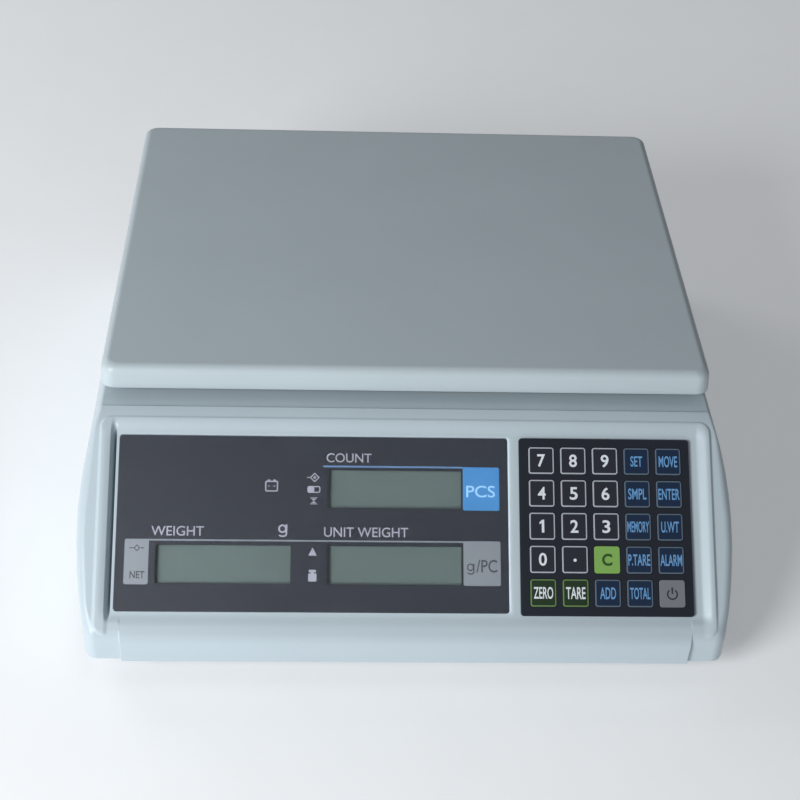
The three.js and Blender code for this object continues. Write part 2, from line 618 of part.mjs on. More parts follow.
// ---------------------------------------------------------------- power, level and cable
function battery() {
  const top = BATTERY.z0 + BATTERY.height;
  const tabs = [-38, 38].map((x) => block(x, BATTERY.y - 20, 6.3, 0.8, top - 1, top + 5.5));
  return batteryBox(BATTERY.width, BATTERY.depth, BATTERY.z0, top).add(union(tabs));
}

function levelVial() {
  const deck = CASE.deck;
  const flange = cylinder(VIAL.flange, 0, 0, deck + GAP, deck + VIAL.flangeTop, 20);
  return flange.add(cylinder(VIAL.radius, 0, 0, deck - VIAL.depth, deck + 1, 20));
}

// Barrel socket: a bore with a centre pin, and a square body behind the wall.
function powerJack() {
  const face = CASE.back - 0.2;
  const bodyBack = CASE.back - CASE.wall - GAP;
  const tube = barrel(JACK.radius, 0, 0, JACK.bodyFront + 2, face, 16);
  const body = box(-JACK.body, JACK.body, JACK.bodyFront, bodyBack, -JACK.body, JACK.body);
  const bore = barrel(JACK.bore, 0, 0, face - JACK.boreDepth, face + 1, 16);
  const pin = barrel(JACK.pin, 0, 0, face - JACK.boreDepth - 1, face - 0.5, 8);
  return tube.add(body).subtract(bore).add(pin);
}

// The load cell's lead runs from its fixed end forward to the board.
function loadCellCable() {
  const extrudePath = new THREE.CatmullRomCurve3(CABLE_ROUTE.map((point) => new THREE.Vector3(...point)));
  const section = new THREE.Shape().absarc(0, 0, CABLE_RADIUS, 0, 2 * Math.PI, false);
  return solid(new THREE.ExtrudeGeometry(section, { steps: 26, curveSegments: 4, extrudePath }));
}

addPart("battery", battery(), MATERIALS.blackPlastic);
addPart("level_vial", levelVial(), MATERIALS.vial, [VIAL.x, VIAL.y, 0]);
addPart("power_jack", powerJack(), MATERIALS.blackPlastic, [JACK.x, 0, JACK.z]);
addPart("load_cell_cable", loadCellCable(), MATERIALS.blackPlastic);

export default parts;
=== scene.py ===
from math import atan2, copysign, cos, hypot, pi, radians, sin, sqrt, tan

import bmesh
import bpy
from mathutils import Matrix, Vector


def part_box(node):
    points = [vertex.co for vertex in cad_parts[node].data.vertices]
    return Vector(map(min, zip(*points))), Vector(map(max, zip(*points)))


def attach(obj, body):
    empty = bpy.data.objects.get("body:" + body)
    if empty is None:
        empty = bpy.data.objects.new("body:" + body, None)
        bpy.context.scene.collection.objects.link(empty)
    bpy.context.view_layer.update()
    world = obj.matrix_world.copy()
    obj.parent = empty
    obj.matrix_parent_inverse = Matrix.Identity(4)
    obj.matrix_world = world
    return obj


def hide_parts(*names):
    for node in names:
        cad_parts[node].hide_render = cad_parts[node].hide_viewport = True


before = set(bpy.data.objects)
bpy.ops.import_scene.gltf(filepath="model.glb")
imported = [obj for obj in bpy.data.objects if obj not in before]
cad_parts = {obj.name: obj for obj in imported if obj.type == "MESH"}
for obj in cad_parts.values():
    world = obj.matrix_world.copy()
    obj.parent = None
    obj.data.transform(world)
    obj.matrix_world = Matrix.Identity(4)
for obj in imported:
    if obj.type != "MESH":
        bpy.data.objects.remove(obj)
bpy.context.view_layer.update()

# A counting scale. Sizes are in millimetres, and MM turns them into Blender's metres.
MM = 0.001
MILLIMETRES = Matrix.Scale(MM, 4)


def box_mm(node):
    low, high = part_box(node)
    return Vector(low) / MM, Vector(high) / MM


def middle(node):
    low, high = box_mm(node)
    return (low + high) / 2


def smooth(t):
    """0 below 0, 1 above 1, and an S-curve between them."""
    t = min(max(t, 0.0), 1.0)
    return t * t * (3 - 2 * t)


def mix(a, b, t):
    return a + (b - a) * t


def steps(start, end, count):
    """count + 1 evenly spaced values from start to end."""
    return [start + (end - start) * i / count for i in range(count + 1)]


def rectangle(x0, x1, y0, y1):
    return [(x0, y0), (x1, y0), (x1, y1), (x0, y1)]


def at_height(outline, z):
    return [(x, y, z) for x, y in outline]


# ---- the console's own frame
# x runs across, y up the slope and z out of it. The keys give its directions.
KEY_ROWS = (
    ("key_7", "key_8", "key_9", "key_set", "key_move"),
    ("key_4", "key_5", "key_6", "key_sample", "key_enter"),
    ("key_1", "key_2", "key_3", "key_memory", "key_unit_weight"),
    ("key_0", "key_point", "key_clear", "key_preset_tare", "key_alarm"),
    ("key_zero", "key_tare", "key_add", "key_total", "key_power"),
)
KEY_7_AT = Vector((62.5, -24.6, 0.25))  # the middle of key_7, in the console's frame
ACROSS = (middle("key_move") - middle("key_7")).normalized()
UP_SLOPE = (middle("key_7") - middle("key_zero")).normalized()
CONSOLE_TURN = Matrix((ACROSS, UP_SLOPE, ACROSS.cross(UP_SLOPE))).transposed()
CONSOLE_ORIGIN = middle("key_7") - CONSOLE_TURN @ KEY_7_AT
CONSOLE = Matrix.Translation(CONSOLE_ORIGIN) @ CONSOLE_TURN.to_4x4()
ON_CONSOLE = MILLIMETRES @ CONSOLE
SLOPE = atan2(UP_SLOPE.z, UP_SLOPE.y)


def in_console(point):
    return CONSOLE.inverted() @ Vector(point)


# ---- camera, light and floor
CAMERA_AT = Vector((-36.1, -653.5, 566.0)) * MM
CAMERA_PITCH = radians(39.14)
CAMERA_YAW = radians(3.21)
CAMERA_ROLL = radians(2.70)
CAMERA_LENS = 71.3
NEAREST_SEEN = 0.01
SKY_COLOUR, SKY_STRENGTH = (0.90, 0.95, 1.0, 1), 0.18
FLOOR_HALF = 6.0
LIT_POINT = Vector((0, 0, 0.05))  # the lamps point at the middle of the object
# Each lamp's name, place, power in watts, width in metres and colour.
LAMPS = (
    ("window", (-0.80, -0.90, 0.60), 13.8, 0.6, (0.95, 0.98, 1.0)),
    ("behind", (-1.1, 0.9, 0.7), 4, 0.8, (0.97, 0.98, 1.0)),
)


def make_camera():
    data = bpy.data.cameras.new("camera")
    data.lens = CAMERA_LENS
    data.clip_start = NEAREST_SEEN
    camera = bpy.data.objects.new("camera", data)
    level_ahead = Vector((sin(CAMERA_YAW), cos(CAMERA_YAW), 0))
    ahead = level_ahead * cos(CAMERA_PITCH) - Vector((0, 0, sin(CAMERA_PITCH)))
    level = Vector((cos(CAMERA_YAW), -sin(CAMERA_YAW), 0))
    right = level * cos(CAMERA_ROLL) + level.cross(ahead) * sin(CAMERA_ROLL)
    turn = Matrix((right, right.cross(ahead), -ahead)).transposed()
    camera.matrix_world = Matrix.Translation(CAMERA_AT) @ turn.to_4x4()
    bpy.context.scene.collection.objects.link(camera)
    bpy.context.scene.camera = camera
    bpy.context.scene.view_settings.view_transform = "Standard"


def area_light(name, at, power, size, colour):
    data = bpy.data.lights.new(name, "AREA")
    data.shape = "DISK"
    data.size = size
    data.energy = power
    data.color = colour
    light = bpy.data.objects.new(name, data)
    light.location = at
    light.rotation_euler = (LIT_POINT - Vector(at)).to_track_quat("-Z", "Y").to_euler()
    bpy.context.scene.collection.objects.link(light)


def make_stage():
    world = bpy.data.worlds.new("studio")
    bpy.context.scene.world = world
    world.use_nodes = True
    sky = world.node_tree.nodes["Background"]
    sky.inputs["Color"].default_value = SKY_COLOUR
    sky.inputs["Strength"].default_value = SKY_STRENGTH
    for lamp in LAMPS:
        area_light(*lamp)
    floor_mesh = bpy.data.meshes.new("floor")
    corners = at_height(rectangle(-FLOOR_HALF, FLOOR_HALF, -FLOOR_HALF, FLOOR_HALF), 0)
    floor_mesh.from_pydata(corners, [], [(0, 1, 2, 3)])
    floor_mesh.materials.append(floor_material())
    floor = bpy.data.objects.new("floor", floor_mesh)
    bpy.context.scene.collection.objects.link(floor)


# ---- materials
NOISE_LOW, NOISE_HIGH = 0.3, 0.7  # nearly all of a noise texture's values lie between these
SURFACE_GLOSS_CHANGE, ACRYLIC_GLOSS_CHANGE = 0.04, 0.05
BUMP_STRENGTH = 0.5
ACRYLIC_IOR = 1.49
FLOOR_GLOW = (0.97, 0.98, 1.0, 1)
FLOOR_GLOW_STRENGTH = 0.22


class Shading:
    """A material's node tree, built up round its Principled shader."""

    def __init__(self, name):
        self.material = bpy.data.materials.new(name)
        self.material.use_nodes = True
        self.nodes = self.material.node_tree.nodes
        self.link = self.material.node_tree.links.new
        self.shader = self.nodes["Principled BSDF"]

    def add(self, kind, **values):
        """A new node, with some of its inputs set. A name's underscores stand for spaces."""
        node = self.nodes.new(kind)
        for name, value in values.items():
            node.inputs[name.replace("_", " ")].default_value = value
        return node

    def noise(self, scale, detail=2.0, stretch=(1, 1, 1)):
        """Noise in the object's own metres. scale is how many blotches there are in a metre."""
        own = self.add("ShaderNodeTexCoord")
        mapping = self.add("ShaderNodeMapping", Scale=stretch)
        texture = self.add("ShaderNodeTexNoise", Scale=scale, Detail=detail)
        self.link(own.outputs["Object"], mapping.inputs["Vector"])
        self.link(mapping.outputs["Vector"], texture.inputs["Vector"])
        return texture.outputs["Fac"]

    def spread(self, value, low, high):
        """A noise value spread to run from low to high."""
        ranged = self.add(
            "ShaderNodeMapRange", From_Min=NOISE_LOW, From_Max=NOISE_HIGH, To_Min=low, To_Max=high
        )
        self.link(value, ranged.inputs["Value"])
        return ranged.outputs["Result"]

    def vary_tone(self, colour, shade):
        blend = self.add("ShaderNodeMix")
        blend.data_type = "RGBA"
        blend.inputs["A"].default_value = (*(c * (1 - shade) for c in colour), 1)
        blend.inputs["B"].default_value = (*(min(1, c * (1 + shade)) for c in colour), 1)
        self.link(self.spread(self.noise(scale=25, detail=4), 0, 1), blend.inputs["Factor"])
        self.link(blend.outputs["Result"], self.shader.inputs["Base Color"])

    def vary_gloss(self, value, rough, change):
        ranged = self.spread(value, rough * (1 - change), rough * (1 + change))
        self.link(ranged, self.shader.inputs["Roughness"])

    def add_bump(self, height, distance):
        bump = self.add("ShaderNodeBump", Strength=BUMP_STRENGTH, Distance=distance * MM)
        self.link(height, bump.inputs["Height"])
        self.link(bump.outputs["Normal"], self.shader.inputs["Normal"])


def surface(name, colour, rough, grain=1500, depth=0.02, shade=0.04, metal=0.0, stretch=(1, 1, 1)):
    """A moulded, printed, painted or cast surface: a fine grain, and cloudy changes of tone and gloss."""
    made = Shading(name)
    made.vary_tone(colour, shade)
    made.vary_gloss(made.noise(scale=70, detail=3), rough, SURFACE_GLOSS_CHANGE)
    made.shader.inputs["Metallic"].default_value = metal
    made.add_bump(made.noise(grain, stretch=stretch), depth)
    return made.material


def clear_plastic(name, rough, tint):
    """Clear acrylic. Lamps shine through it to what lies under it."""
    made = Shading(name)
    made.shader.inputs["Base Color"].default_value = (*tint, 1)
    made.shader.inputs["Transmission Weight"].default_value = 1.0
    made.shader.inputs["IOR"].default_value = ACRYLIC_IOR
    made.vary_gloss(made.noise(scale=40), rough, ACRYLIC_GLOSS_CHANGE)
    path = made.add("ShaderNodeLightPath")
    through = made.add("ShaderNodeBsdfTransparent")
    either = made.add("ShaderNodeMixShader")
    made.link(path.outputs["Is Shadow Ray"], either.inputs["Fac"])
    made.link(made.shader.outputs["BSDF"], either.inputs[1])
    made.link(through.outputs["BSDF"], either.inputs[2])
    made.link(either.outputs["Shader"], made.nodes["Material Output"].inputs["Surface"])
    return made.material


def ink(name, colour):
    """Screen-printed ink."""
    return surface(name, colour, 0.45, grain=2600, depth=0.01)


def film(name, colour):
    """Satin polyester film."""
    return surface(name, colour, 0.42, grain=2600, depth=0.02)


def floor_material():
    made = surface("pale_floor", (0.90, 0.91, 0.92), 0.8, grain=300, shade=0.01)
    shader = made.node_tree.nodes["Principled BSDF"]
    shader.inputs["Emission Color"].default_value = FLOOR_GLOW
    shader.inputs["Emission Strength"].default_value = FLOOR_GLOW_STRENGTH
    return made


CASE = surface("case_plastic", (0.53, 0.61, 0.655), 0.36, grain=1300, depth=0.012, shade=0.012)
PLATTER = surface("platter_plastic", (0.52, 0.59, 0.62), 0.42, grain=1300, depth=0.015, shade=0.015)
BASE = surface("base_plastic", (0.30, 0.33, 0.35), 0.55, grain=1100, depth=0.03)
MASK = surface("window_mask", (0.015, 0.017, 0.024), 0.35, grain=900, depth=0.004)
LENS = clear_plastic("window_acrylic", 0.05, (0.97, 0.98, 1.0))
LCD = surface("lcd_glass", (0.085, 0.112, 0.104), 0.3, grain=2500, depth=0.002, shade=0.05)
LCD_FRAME = surface("lcd_bezel", (0.03, 0.035, 0.04), 0.45)
MEMBRANE = film("keypad_film", (0.012, 0.015, 0.024))
INK_PALE = ink("pale_ink", (0.27, 0.27, 0.31))
INK_GREY = ink("grey_ink", (0.165, 0.18, 0.195))
INK_DARK = ink("dark_ink", (0.03, 0.032, 0.038))
INK_BLUE = ink("blue_ink", (0.040, 0.18, 0.39))
INK_LINE = ink("steel_blue_ink", (0.09, 0.17, 0.30))
INK_SKY = ink("sky_ink", (0.27, 0.48, 0.70))
INK_WHITE = ink("white_ink", (0.80, 0.83, 0.87))
INK_OUTLINE = ink("outline_ink", (0.46, 0.48, 0.53))
INK_FUNCTION = ink("function_ink", (0.15, 0.36, 0.66))
INK_FUNCTION_LINE = ink("function_outline_ink", (0.11, 0.15, 0.20))
INK_OLIVE = ink("olive_ink", (0.14, 0.24, 0.08))
INK_LIME = ink("lime_ink", (0.03, 0.09, 0.015))
KEY_NUMBER = film("number_key_film", (0.020, 0.021, 0.032))
KEY_FUNCTION = film("function_key_film", (0.006, 0.020, 0.055))
KEY_ZERO = film("zero_key_film", (0.014, 0.034, 0.012))
KEY_CLEAR = film("clear_key_film", (0.235, 0.45, 0.10))
KEY_POWER = film("power_key_film", (0.20, 0.21, 0.23))
RUBBER = surface("rubber", (0.018, 0.018, 0.019), 0.8, grain=1800, depth=0.04)
BLACK_PLASTIC = surface("black_plastic", (0.022, 0.023, 0.026), 0.45, depth=0.03)
CAST = surface("cast_aluminium", (0.48, 0.49, 0.50), 0.5, grain=700, depth=0.08, metal=0.9)
MILLED = surface("milled_aluminium", (0.62, 0.63, 0.64), 0.32, grain=900, metal=1.0, stretch=(1, 14, 1))
STEEL = surface("steel", (0.42, 0.43, 0.44), 0.3, grain=900, metal=1.0)
BOARD = surface("circuit_board", (0.012, 0.085, 0.035), 0.4, grain=600, depth=0.05, shade=0.12)
VIAL_BODY = surface("vial_plastic", (0.62, 0.64, 0.62), 0.35)
VIAL_CLEAR = clear_plastic("vial_acrylic", 0.03, (0.97, 1.0, 0.97))
VIAL_LIQUID = surface("vial_liquid", (0.42, 0.66, 0.10), 0.15, grain=500, depth=0.002)
VIAL_BUBBLE = surface("vial_bubble", (0.80, 0.92, 0.55), 0.1, grain=500, depth=0.002)


# ---- mesh building
NO_LENGTH = 1e-8  # edges shorter than this are taken out
ON_AXIS = 0.01  # radius where a turned profile closes on its axis
LEAST_RADIUS = 0.01  # of a rounded corner


class Builder:
    """Collects vertices and faces. matrix turns the builder's own coordinates into the frame's metres."""

    def __init__(self, matrix=MILLIMETRES):
        self.mesh = bmesh.new()
        self.matrix = matrix

    def point(self, at):
        return self.mesh.verts.new(self.matrix @ Vector(at))

    def loop(self, points):
        return [self.point(p) for p in points]

    def face(self, corners, material=0):
        made = self.mesh.faces.new(corners)
        made.material_index = material
        made.smooth = True

    def bridge(self, first, second, material=0):
        """Quads between two closed loops with as many points."""
        for i in range(len(first)):
            j = (i + 1) % len(first)
            self.face((first[i], first[j], second[j], second[i]), material)

    def tube(self, loops, material=0):
        for first, second in zip(loops, loops[1:]):
            self.bridge(first, second, material)

    def grid(self, rows, material=0, skip=None):
        """Quads over rows of points. skip(row, column) leaves one out."""
        for r, (first, second) in enumerate(zip(rows, rows[1:])):
            for c in range(len(first) - 1):
                if not (skip and skip(r, c)):
                    self.face((first[c], first[c + 1], second[c + 1], second[c]), material)

    def sheet(self, rings, material=0):
        """Fills between an outer ring and the rings of its holes."""
        edges = []
        for ring in rings:
            for ends in zip(ring, ring[1:] + ring[:1]):
                edges.append(self.mesh.edges.get(ends) or self.mesh.edges.new(ends))
        made = bmesh.ops.triangle_fill(self.mesh, use_beauty=True, use_dissolve=False, edges=edges)
        for item in made["geom"]:
            if isinstance(item, bmesh.types.BMFace):
                item.material_index = material
                item.smooth = True

    def add_mesh(self, data, matrix, material=0):
        """Copies another mesh in, placed by matrix, in one material."""
        points = [self.mesh.verts.new(self.matrix @ matrix @ v.co) for v in data.vertices]
        for polygon in data.polygons:
            self.face([points[i] for i in polygon.vertices], material)

    def object(self, name, materials, sharp=40, weld=1e-6):
        """Closes the mesh into an object. Edges folded more than sharp degrees stay sharp."""
        bmesh.ops.remove_doubles(self.mesh, verts=self.mesh.verts, dist=weld)
        bmesh.ops.dissolve_degenerate(self.mesh, edges=self.mesh.edges, dist=NO_LENGTH)
        bmesh.ops.recalc_face_normals(self.mesh, faces=self.mesh.faces)
        for edge in self.mesh.edges:
            folded = len(edge.link_faces) != 2 or edge.calc_face_angle() > radians(sharp)
            edge.smooth = not folded
        data = bpy.data.meshes.new(name)
        self.mesh.to_mesh(data)
        self.mesh.free()
        for material in materials:
            data.materials.append(material)
        made = bpy.data.objects.new(name, data)
        bpy.context.scene.collection.objects.link(made)
        return made


def weight_normals(piece):
    """Flat faces stay flat to the eye right up to their rounded edges."""
    modifier = piece.modifiers.new("weighted_normals", "WEIGHTED_NORMAL")
    modifier.keep_sharp = True


def place(piece, body, slot, *nodes):
    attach(piece, body)
    if nodes:
        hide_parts(*nodes)


def finish(piece, body, slot, *nodes):
    weight_normals(piece)
    place(piece, body, slot, *nodes)


def rounded_rectangle(x0, x1, y0, y1, radius, segments=6):
    """Outline, anticlockwise from the lower right corner."""
    radius = max(radius, LEAST_RADIUS)
    corners = (
        (x1 - radius, y0 + radius, -90),
        (x1 - radius, y1 - radius, 0),
        (x0 + radius, y1 - radius, 90),
        (x0 + radius, y0 + radius, 180),
    )
    points = []
    for cx, cy, start in corners:
        for turn in steps(start, start + 90, segments):
            angle = radians(turn)
            points.append((cx + radius * cos(angle), cy + radius * sin(angle)))
    return points


def circle(x, y, radius, segments=48):
    turns = (2 * pi * i / segments for i in range(segments))
    return [(x + radius * cos(a), y + radius * sin(a)) for a in turns]


def lifted(profile, z):
    """The profile with its heights counted from z."""
    return [(radius, z + rise) for radius, rise in profile]


def revolve(builder, profile, x, y, segments=48, material=0, lobes=0, lobe_depth=0.0, lobed=(0, 0)):
    """Turns a profile of (radius, z) about an upright axis. Rings between lobed's heights get lobes."""
    rings = []
    for radius, z in profile:
        ring = []
        for i in range(segments):
            angle = 2 * pi * i / segments
            wave = lobe_depth * (0.5 - 0.5 * cos(lobes * angle)) if lobed[0] <= z <= lobed[1] else 0.0
            reach = radius - wave
            ring.append((x + reach * cos(angle), y + reach * sin(angle), z))
        rings.append(builder.loop(ring))
    builder.tube(rings, material)
    return rings


def around(at, half_x, half_y):
    """Left, right, lower and upper edge of a rectangle round a point."""
    return (at.x - half_x, at.x + half_x, at.y - half_y, at.y + half_y)


def pad_loops(edges, radius, z0, z1, edge, segments=6):
    """Loops of a flat pad from its lower edge to the flat top, round a quarter-round edge."""
    x0, x1, y0, y1 = edges
    loops = [at_height(rounded_rectangle(x0, x1, y0, y1, radius, segments), z0)]
    for turn in steps(0, 90, 4):
        inset = edge * (1 - cos(radians(turn)))
        outline = rounded_rectangle(x0 + inset, x1 - inset, y0 + inset, y1 - inset, radius - inset, segments)
        loops.append(at_height(outline, z1 - edge + edge * sin(radians(turn))))
    return loops


def open_pad(builder, outlines, material=0):
    """A pad's bottom and sides. Returns the loop round its open top."""
    loops = [builder.loop(outline) for outline in outlines]
    builder.face(list(reversed(loops[0])), material)
    builder.tube(loops, material)
    return loops[-1]


def solid_pad(builder, outlines, material=0):
    builder.face(open_pad(builder, outlines, material), material)


# ---- lettering
def text_mesh(words, bold=0.0):
    """The words in the built-in face, as a mesh that lies flat round its own middle, 1 high and 1 wide."""
    curve = bpy.data.curves.new("lettering", "FONT")
    curve.body = words
    curve.offset = bold
    curve.resolution_u = 6
    carrier = bpy.data.objects.new("lettering", curve)
    bpy.context.scene.collection.objects.link(carrier)
    graph = bpy.context.evaluated_depsgraph_get()
    data = bpy.data.meshes.new_from_object(carrier.evaluated_get(graph))
    bpy.data.objects.remove(carrier)
    xs = [v.co.x for v in data.vertices]
    ys = [v.co.y for v in data.vertices]
    centre = Vector(((min(xs) + max(xs)) / 2, (min(ys) + max(ys)) / 2, 0))
    size = Matrix.Diagonal((1 / (max(xs) - min(xs)), 1 / (max(ys) - min(ys)), 1, 1))
    data.transform(size @ Matrix.Translation(-centre))
    return data


def write(builder, words, x, y, z, width, height, material=0, bold=0.0):
    """Writes words in a box of that width and height round x, y."""
    data = text_mesh(words, bold)
    matrix = Matrix.Translation((x, y, z)) @ Matrix.Diagonal((width, height, 1, 1))
    builder.add_mesh(data, matrix, material)
    bpy.data.meshes.remove(data)


def flat(builder, outline, z, material=0):
    builder.face(builder.loop(at_height(outline, z)), material)


def ring_band(builder, outer, inner, z, material=0):
    builder.bridge(builder.loop(at_height(outer, z)), builder.loop(at_height(inner, z)), material)


# ---- top housing
HOUSING_LOW, HOUSING_HIGH = box_mm("top_housing")
RIM_Z = HOUSING_LOW.z  # lower edge of the case
DECK_Z = box_mm("platter")[0].z - 5  # level top, 5 under the platter
HALF_WIDTH = HOUSING_HIGH.x
BACK = HOUSING_HIGH.y
APRON_FRONT = HOUSING_LOW.y  # the middle of the front lip
CORNER_FRONT = APRON_FRONT + 1.6  # the lip's corners stand back
LIP_ROUND = 8.0
CORNER_ROUND = 4.5  # the upright edges at the lip's two ends
LEAST_ROUND = 1.2  # the long edges, where the case is narrowest
ROUND_FROM, ROUND_GROWTH = 144.5, 0.7  # past this half width the long edges grow rounder
BACK_ROUND = 6.0
WALL = 2.0
LEAN_FROM, LEAN_TO, LEAN = 55.0, 93.0, 9.5  # above LEAN_FROM the sides lean in along a parabola
TAPER_FROM, TAPER_TO, TAPER = -120.2, -157.4, 4.75  # and so they do towards the front corners
NOSE_START = 13.6  # down the slope, where the flat console turns into the rounded nose
NOSE_ROUND = 34.3
NOSE_END = radians(15)
NOSE_EDGE = 0.5
NOSE_TO_DECK = 0.12  # the deck starts this far behind the nose's edge
# The console's relief. Halves are measured across from the middle, and tops and bottoms down the slope.
RIM_HALF, RIM_TOP, RIM_BOTTOM, RIM_CORNER = 143.4, 4.8, 107.0, 5.5
RIM_STEP = 1.2  # width of the rim's outer step
RIM_HEIGHT = 0.5
BEYOND_RIM = -9.0  # any place past the rim's top
POCKET_HALF, POCKET_TOP, POCKET_BOTTOM, POCKET_Z = 136.0, 14.0, 97.0, -1.2
POCKET_RUN_OUT = 4.5  # length over which the pocket's floor comes up again at its bottom
BANK, CREST = 138.2, 141.2  # the pocket's banks climb from POCKET_HALF to CREST, the left one mostly by BANK
LEFT_BANK_SHARE = 0.85
CREST_HEIGHT, CREST_RISE = 1.1, 9.0
CREST_FADE_FROM, CREST_FADE, CREST_LEFT_OVER = 90.0, 13.0, 0.55  # the banks get lower towards the lip
GUTTER = 5.0  # depth of the narrow gutter between the display window and its bank
GUTTER_WALL = 0.4
GUTTER_TOP, GUTTER_RAMP_IN = 8.0, 9.0
GUTTER_BOTTOM, GUTTER_RAMP_OUT = 101.0, 11.0
FLAT_HALF = 135.4  # lines further out than this are squeezed where the case is narrower
STEP_X = (131.0, 130.4)  # the apron's ends, at its top and at its foot
STEP_FROM, STEP_LENGTH = 101.0, 14.0
STEP_BLEND = 0.45  # width of the step at the apron's ends
APRON_MEETS = 98.0  # down the slope, where the apron and the corners are one again
LCD_OPENING = (33.0, 11.0)  # half of the hole under each LCD
LCD_NODES = ("lcd_count", "lcd_unit_weight", "lcd_weight")
LEVELS = 12  # rows up each upright wall
NEAR = 0.01  # places closer than this are the same


def half_width(y, z):
    lean = max(0.0, (z - LEAN_FROM) / (LEAN_TO - LEAN_FROM)) ** 2 * LEAN
    taper = max(0.0, (TAPER_FROM - y) / (TAPER_FROM - TAPER_TO)) ** 2 * TAPER
    return HALF_WIDTH - lean - taper


def rim_inside(a, s):
    """How far inside the raised rim's outline a point is, a across from the middle and s down the slope."""
    dx = a - (RIM_HALF - RIM_CORNER)
    ds = max(RIM_TOP + RIM_CORNER - s, s - (RIM_BOTTOM - RIM_CORNER))
    if dx > 0 and ds > 0:
        return RIM_CORNER - hypot(dx, ds)
    return RIM_CORNER - max(dx, ds)


def relief(x, s):
    """Height of the rim, the pocket and its banks over the plain console."""
    a = abs(x)
    inside = rim_inside(a, s)
    if inside <= 0:
        return 0.0
    floor = mix(RIM_HEIGHT, POCKET_Z, smooth((s - RIM_TOP) / (POCKET_TOP - RIM_TOP)))
    floor = mix(floor, 0.0, smooth((s - POCKET_BOTTOM) / POCKET_RUN_OUT))
    crest = mix(RIM_HEIGHT, CREST_HEIGHT, smooth((s - RIM_TOP) / CREST_RISE))
    crest *= mix(1.0, CREST_LEFT_OVER, smooth((s - CREST_FADE_FROM) / CREST_FADE))
    bank = smooth((a - POCKET_HALF) / (CREST - POCKET_HALF))
    if x < 0:
        ramps = smooth((s - GUTTER_TOP) / GUTTER_RAMP_IN) * smooth((GUTTER_BOTTOM - s) / GUTTER_RAMP_OUT)
        floor -= GUTTER * smooth((a - FLAT_HALF) / GUTTER_WALL) * ramps
        bank = mix(bank, smooth((a - POCKET_HALF) / (BANK - POCKET_HALF)), LEFT_BANK_SHARE)
    return mix(floor, crest, bank) * smooth(inside / RIM_STEP)


class Row:
    """One line across the housing: a point of its side profile, and the way out of the surface there.

    s is its place down the slope, and apron is the profile's point between the apron's two ends.
    """

    def __init__(self, y, z, angle, round_=None, s=None, apron=None):
        self.y, self.z = y, z
        self.ny, self.nz = cos(angle), sin(angle)
        self.apron = apron or (y, z)
        self.s = -in_console((0, y, z)).y if s is None else s
        self.width = half_width(y, z)
        grown = ROUND_GROWTH * (self.width - ROUND_FROM)
        self.round = min(max(grown, LEAST_ROUND), CORNER_ROUND) if round_ is None else round_

    def point(self, x, sink=0.0, tilt=0.0):
        """A point of the row. sink lowers it into the edge's rounding, and tilt turns its normal outward."""
        share = smooth((abs(x) - self.step()) / STEP_BLEND + 0.5)
        y = mix(self.apron[0], self.y, share) - self.ny * sink
        z = mix(self.apron[1], self.z, share) - self.nz * sink
        rise = relief(x, self.s)
        lift = rise * cos(tilt)
        out = copysign(rise * sin(tilt), x)
        return (x + out, y + self.ny * lift, z + self.nz * lift)

    def step(self):
        """How far across the apron ends."""
        return mix(*STEP_X, smooth((self.s - STEP_FROM) / STEP_LENGTH))


def slope_z(y):
    return CONSOLE_ORIGIN.z + (y - CONSOLE_ORIGIN.y) * tan(SLOPE)


def lip_centre(front):
    """Centre of the lip's rounding, which meets the upright front and the slope."""
    return front + LIP_ROUND, slope_z(front) - LIP_ROUND * tan((pi / 2 - SLOPE) / 2)


def lip_rows():
    """Rows of the front lip, and the place down the slope where its rounding starts."""
    (cy, cz), (ay, az) = lip_centre(CORNER_FRONT), lip_centre(APRON_FRONT)
    rows = []
    end = pi / 2 + SLOPE
    meet = -in_console((0, cy + LIP_ROUND * cos(end), cz + LIP_ROUND * sin(end))).y
    for share in steps(0, 1, LEVELS):
        z = mix(RIM_Z, cz, share)
        s = meet + LIP_ROUND * (pi - end) + cz - z
        rows.append(Row(CORNER_FRONT, z, pi, CORNER_ROUND, s, (APRON_FRONT, mix(RIM_Z, az, share))))
    for angle in steps(pi, end, 12)[1:]:
        y, z = LIP_ROUND * cos(angle), LIP_ROUND * sin(angle)
        s = meet + LIP_ROUND * (angle - end)
        rows.append(Row(cy + y, cz + z, angle, CORNER_ROUND, s, (ay + y, az + z)))
    return rows, meet


def on_slope(s):
    point = CONSOLE @ Vector((0, -s, 0))
    return point.y, point.z


def slope_rows(meet):
    apron_y = lip_centre(APRON_FRONT)[0] + LIP_ROUND * cos(pi / 2 + SLOPE)
    apron_meet = -in_console((0, apron_y, slope_z(apron_y))).y
    places = [(mix(meet, APRON_MEETS, t), mix(apron_meet, APRON_MEETS, t)) for t in steps(0, 1, 8)[1:]]
    lines = [POCKET_BOTTOM, 96, 92]
    for node in ("lcd_weight", "lcd_count"):
        middle_s = -in_console(middle(node)).y
        lines += [middle_s + LCD_OPENING[1], middle_s, middle_s - LCD_OPENING[1]]
    lines += [20, 17, 15.5, 14.6, 14.1]
    places += [(s, s) for s in lines]
    rows = []
    for s, apron_s in places:
        y, z = on_slope(s)
        row = Row(y, z, pi / 2 + SLOPE, None, s, on_slope(apron_s))
        row.round = mix(CORNER_ROUND, row.round, smooth((meet - s) / 15))
        rows.append(row)
    return rows


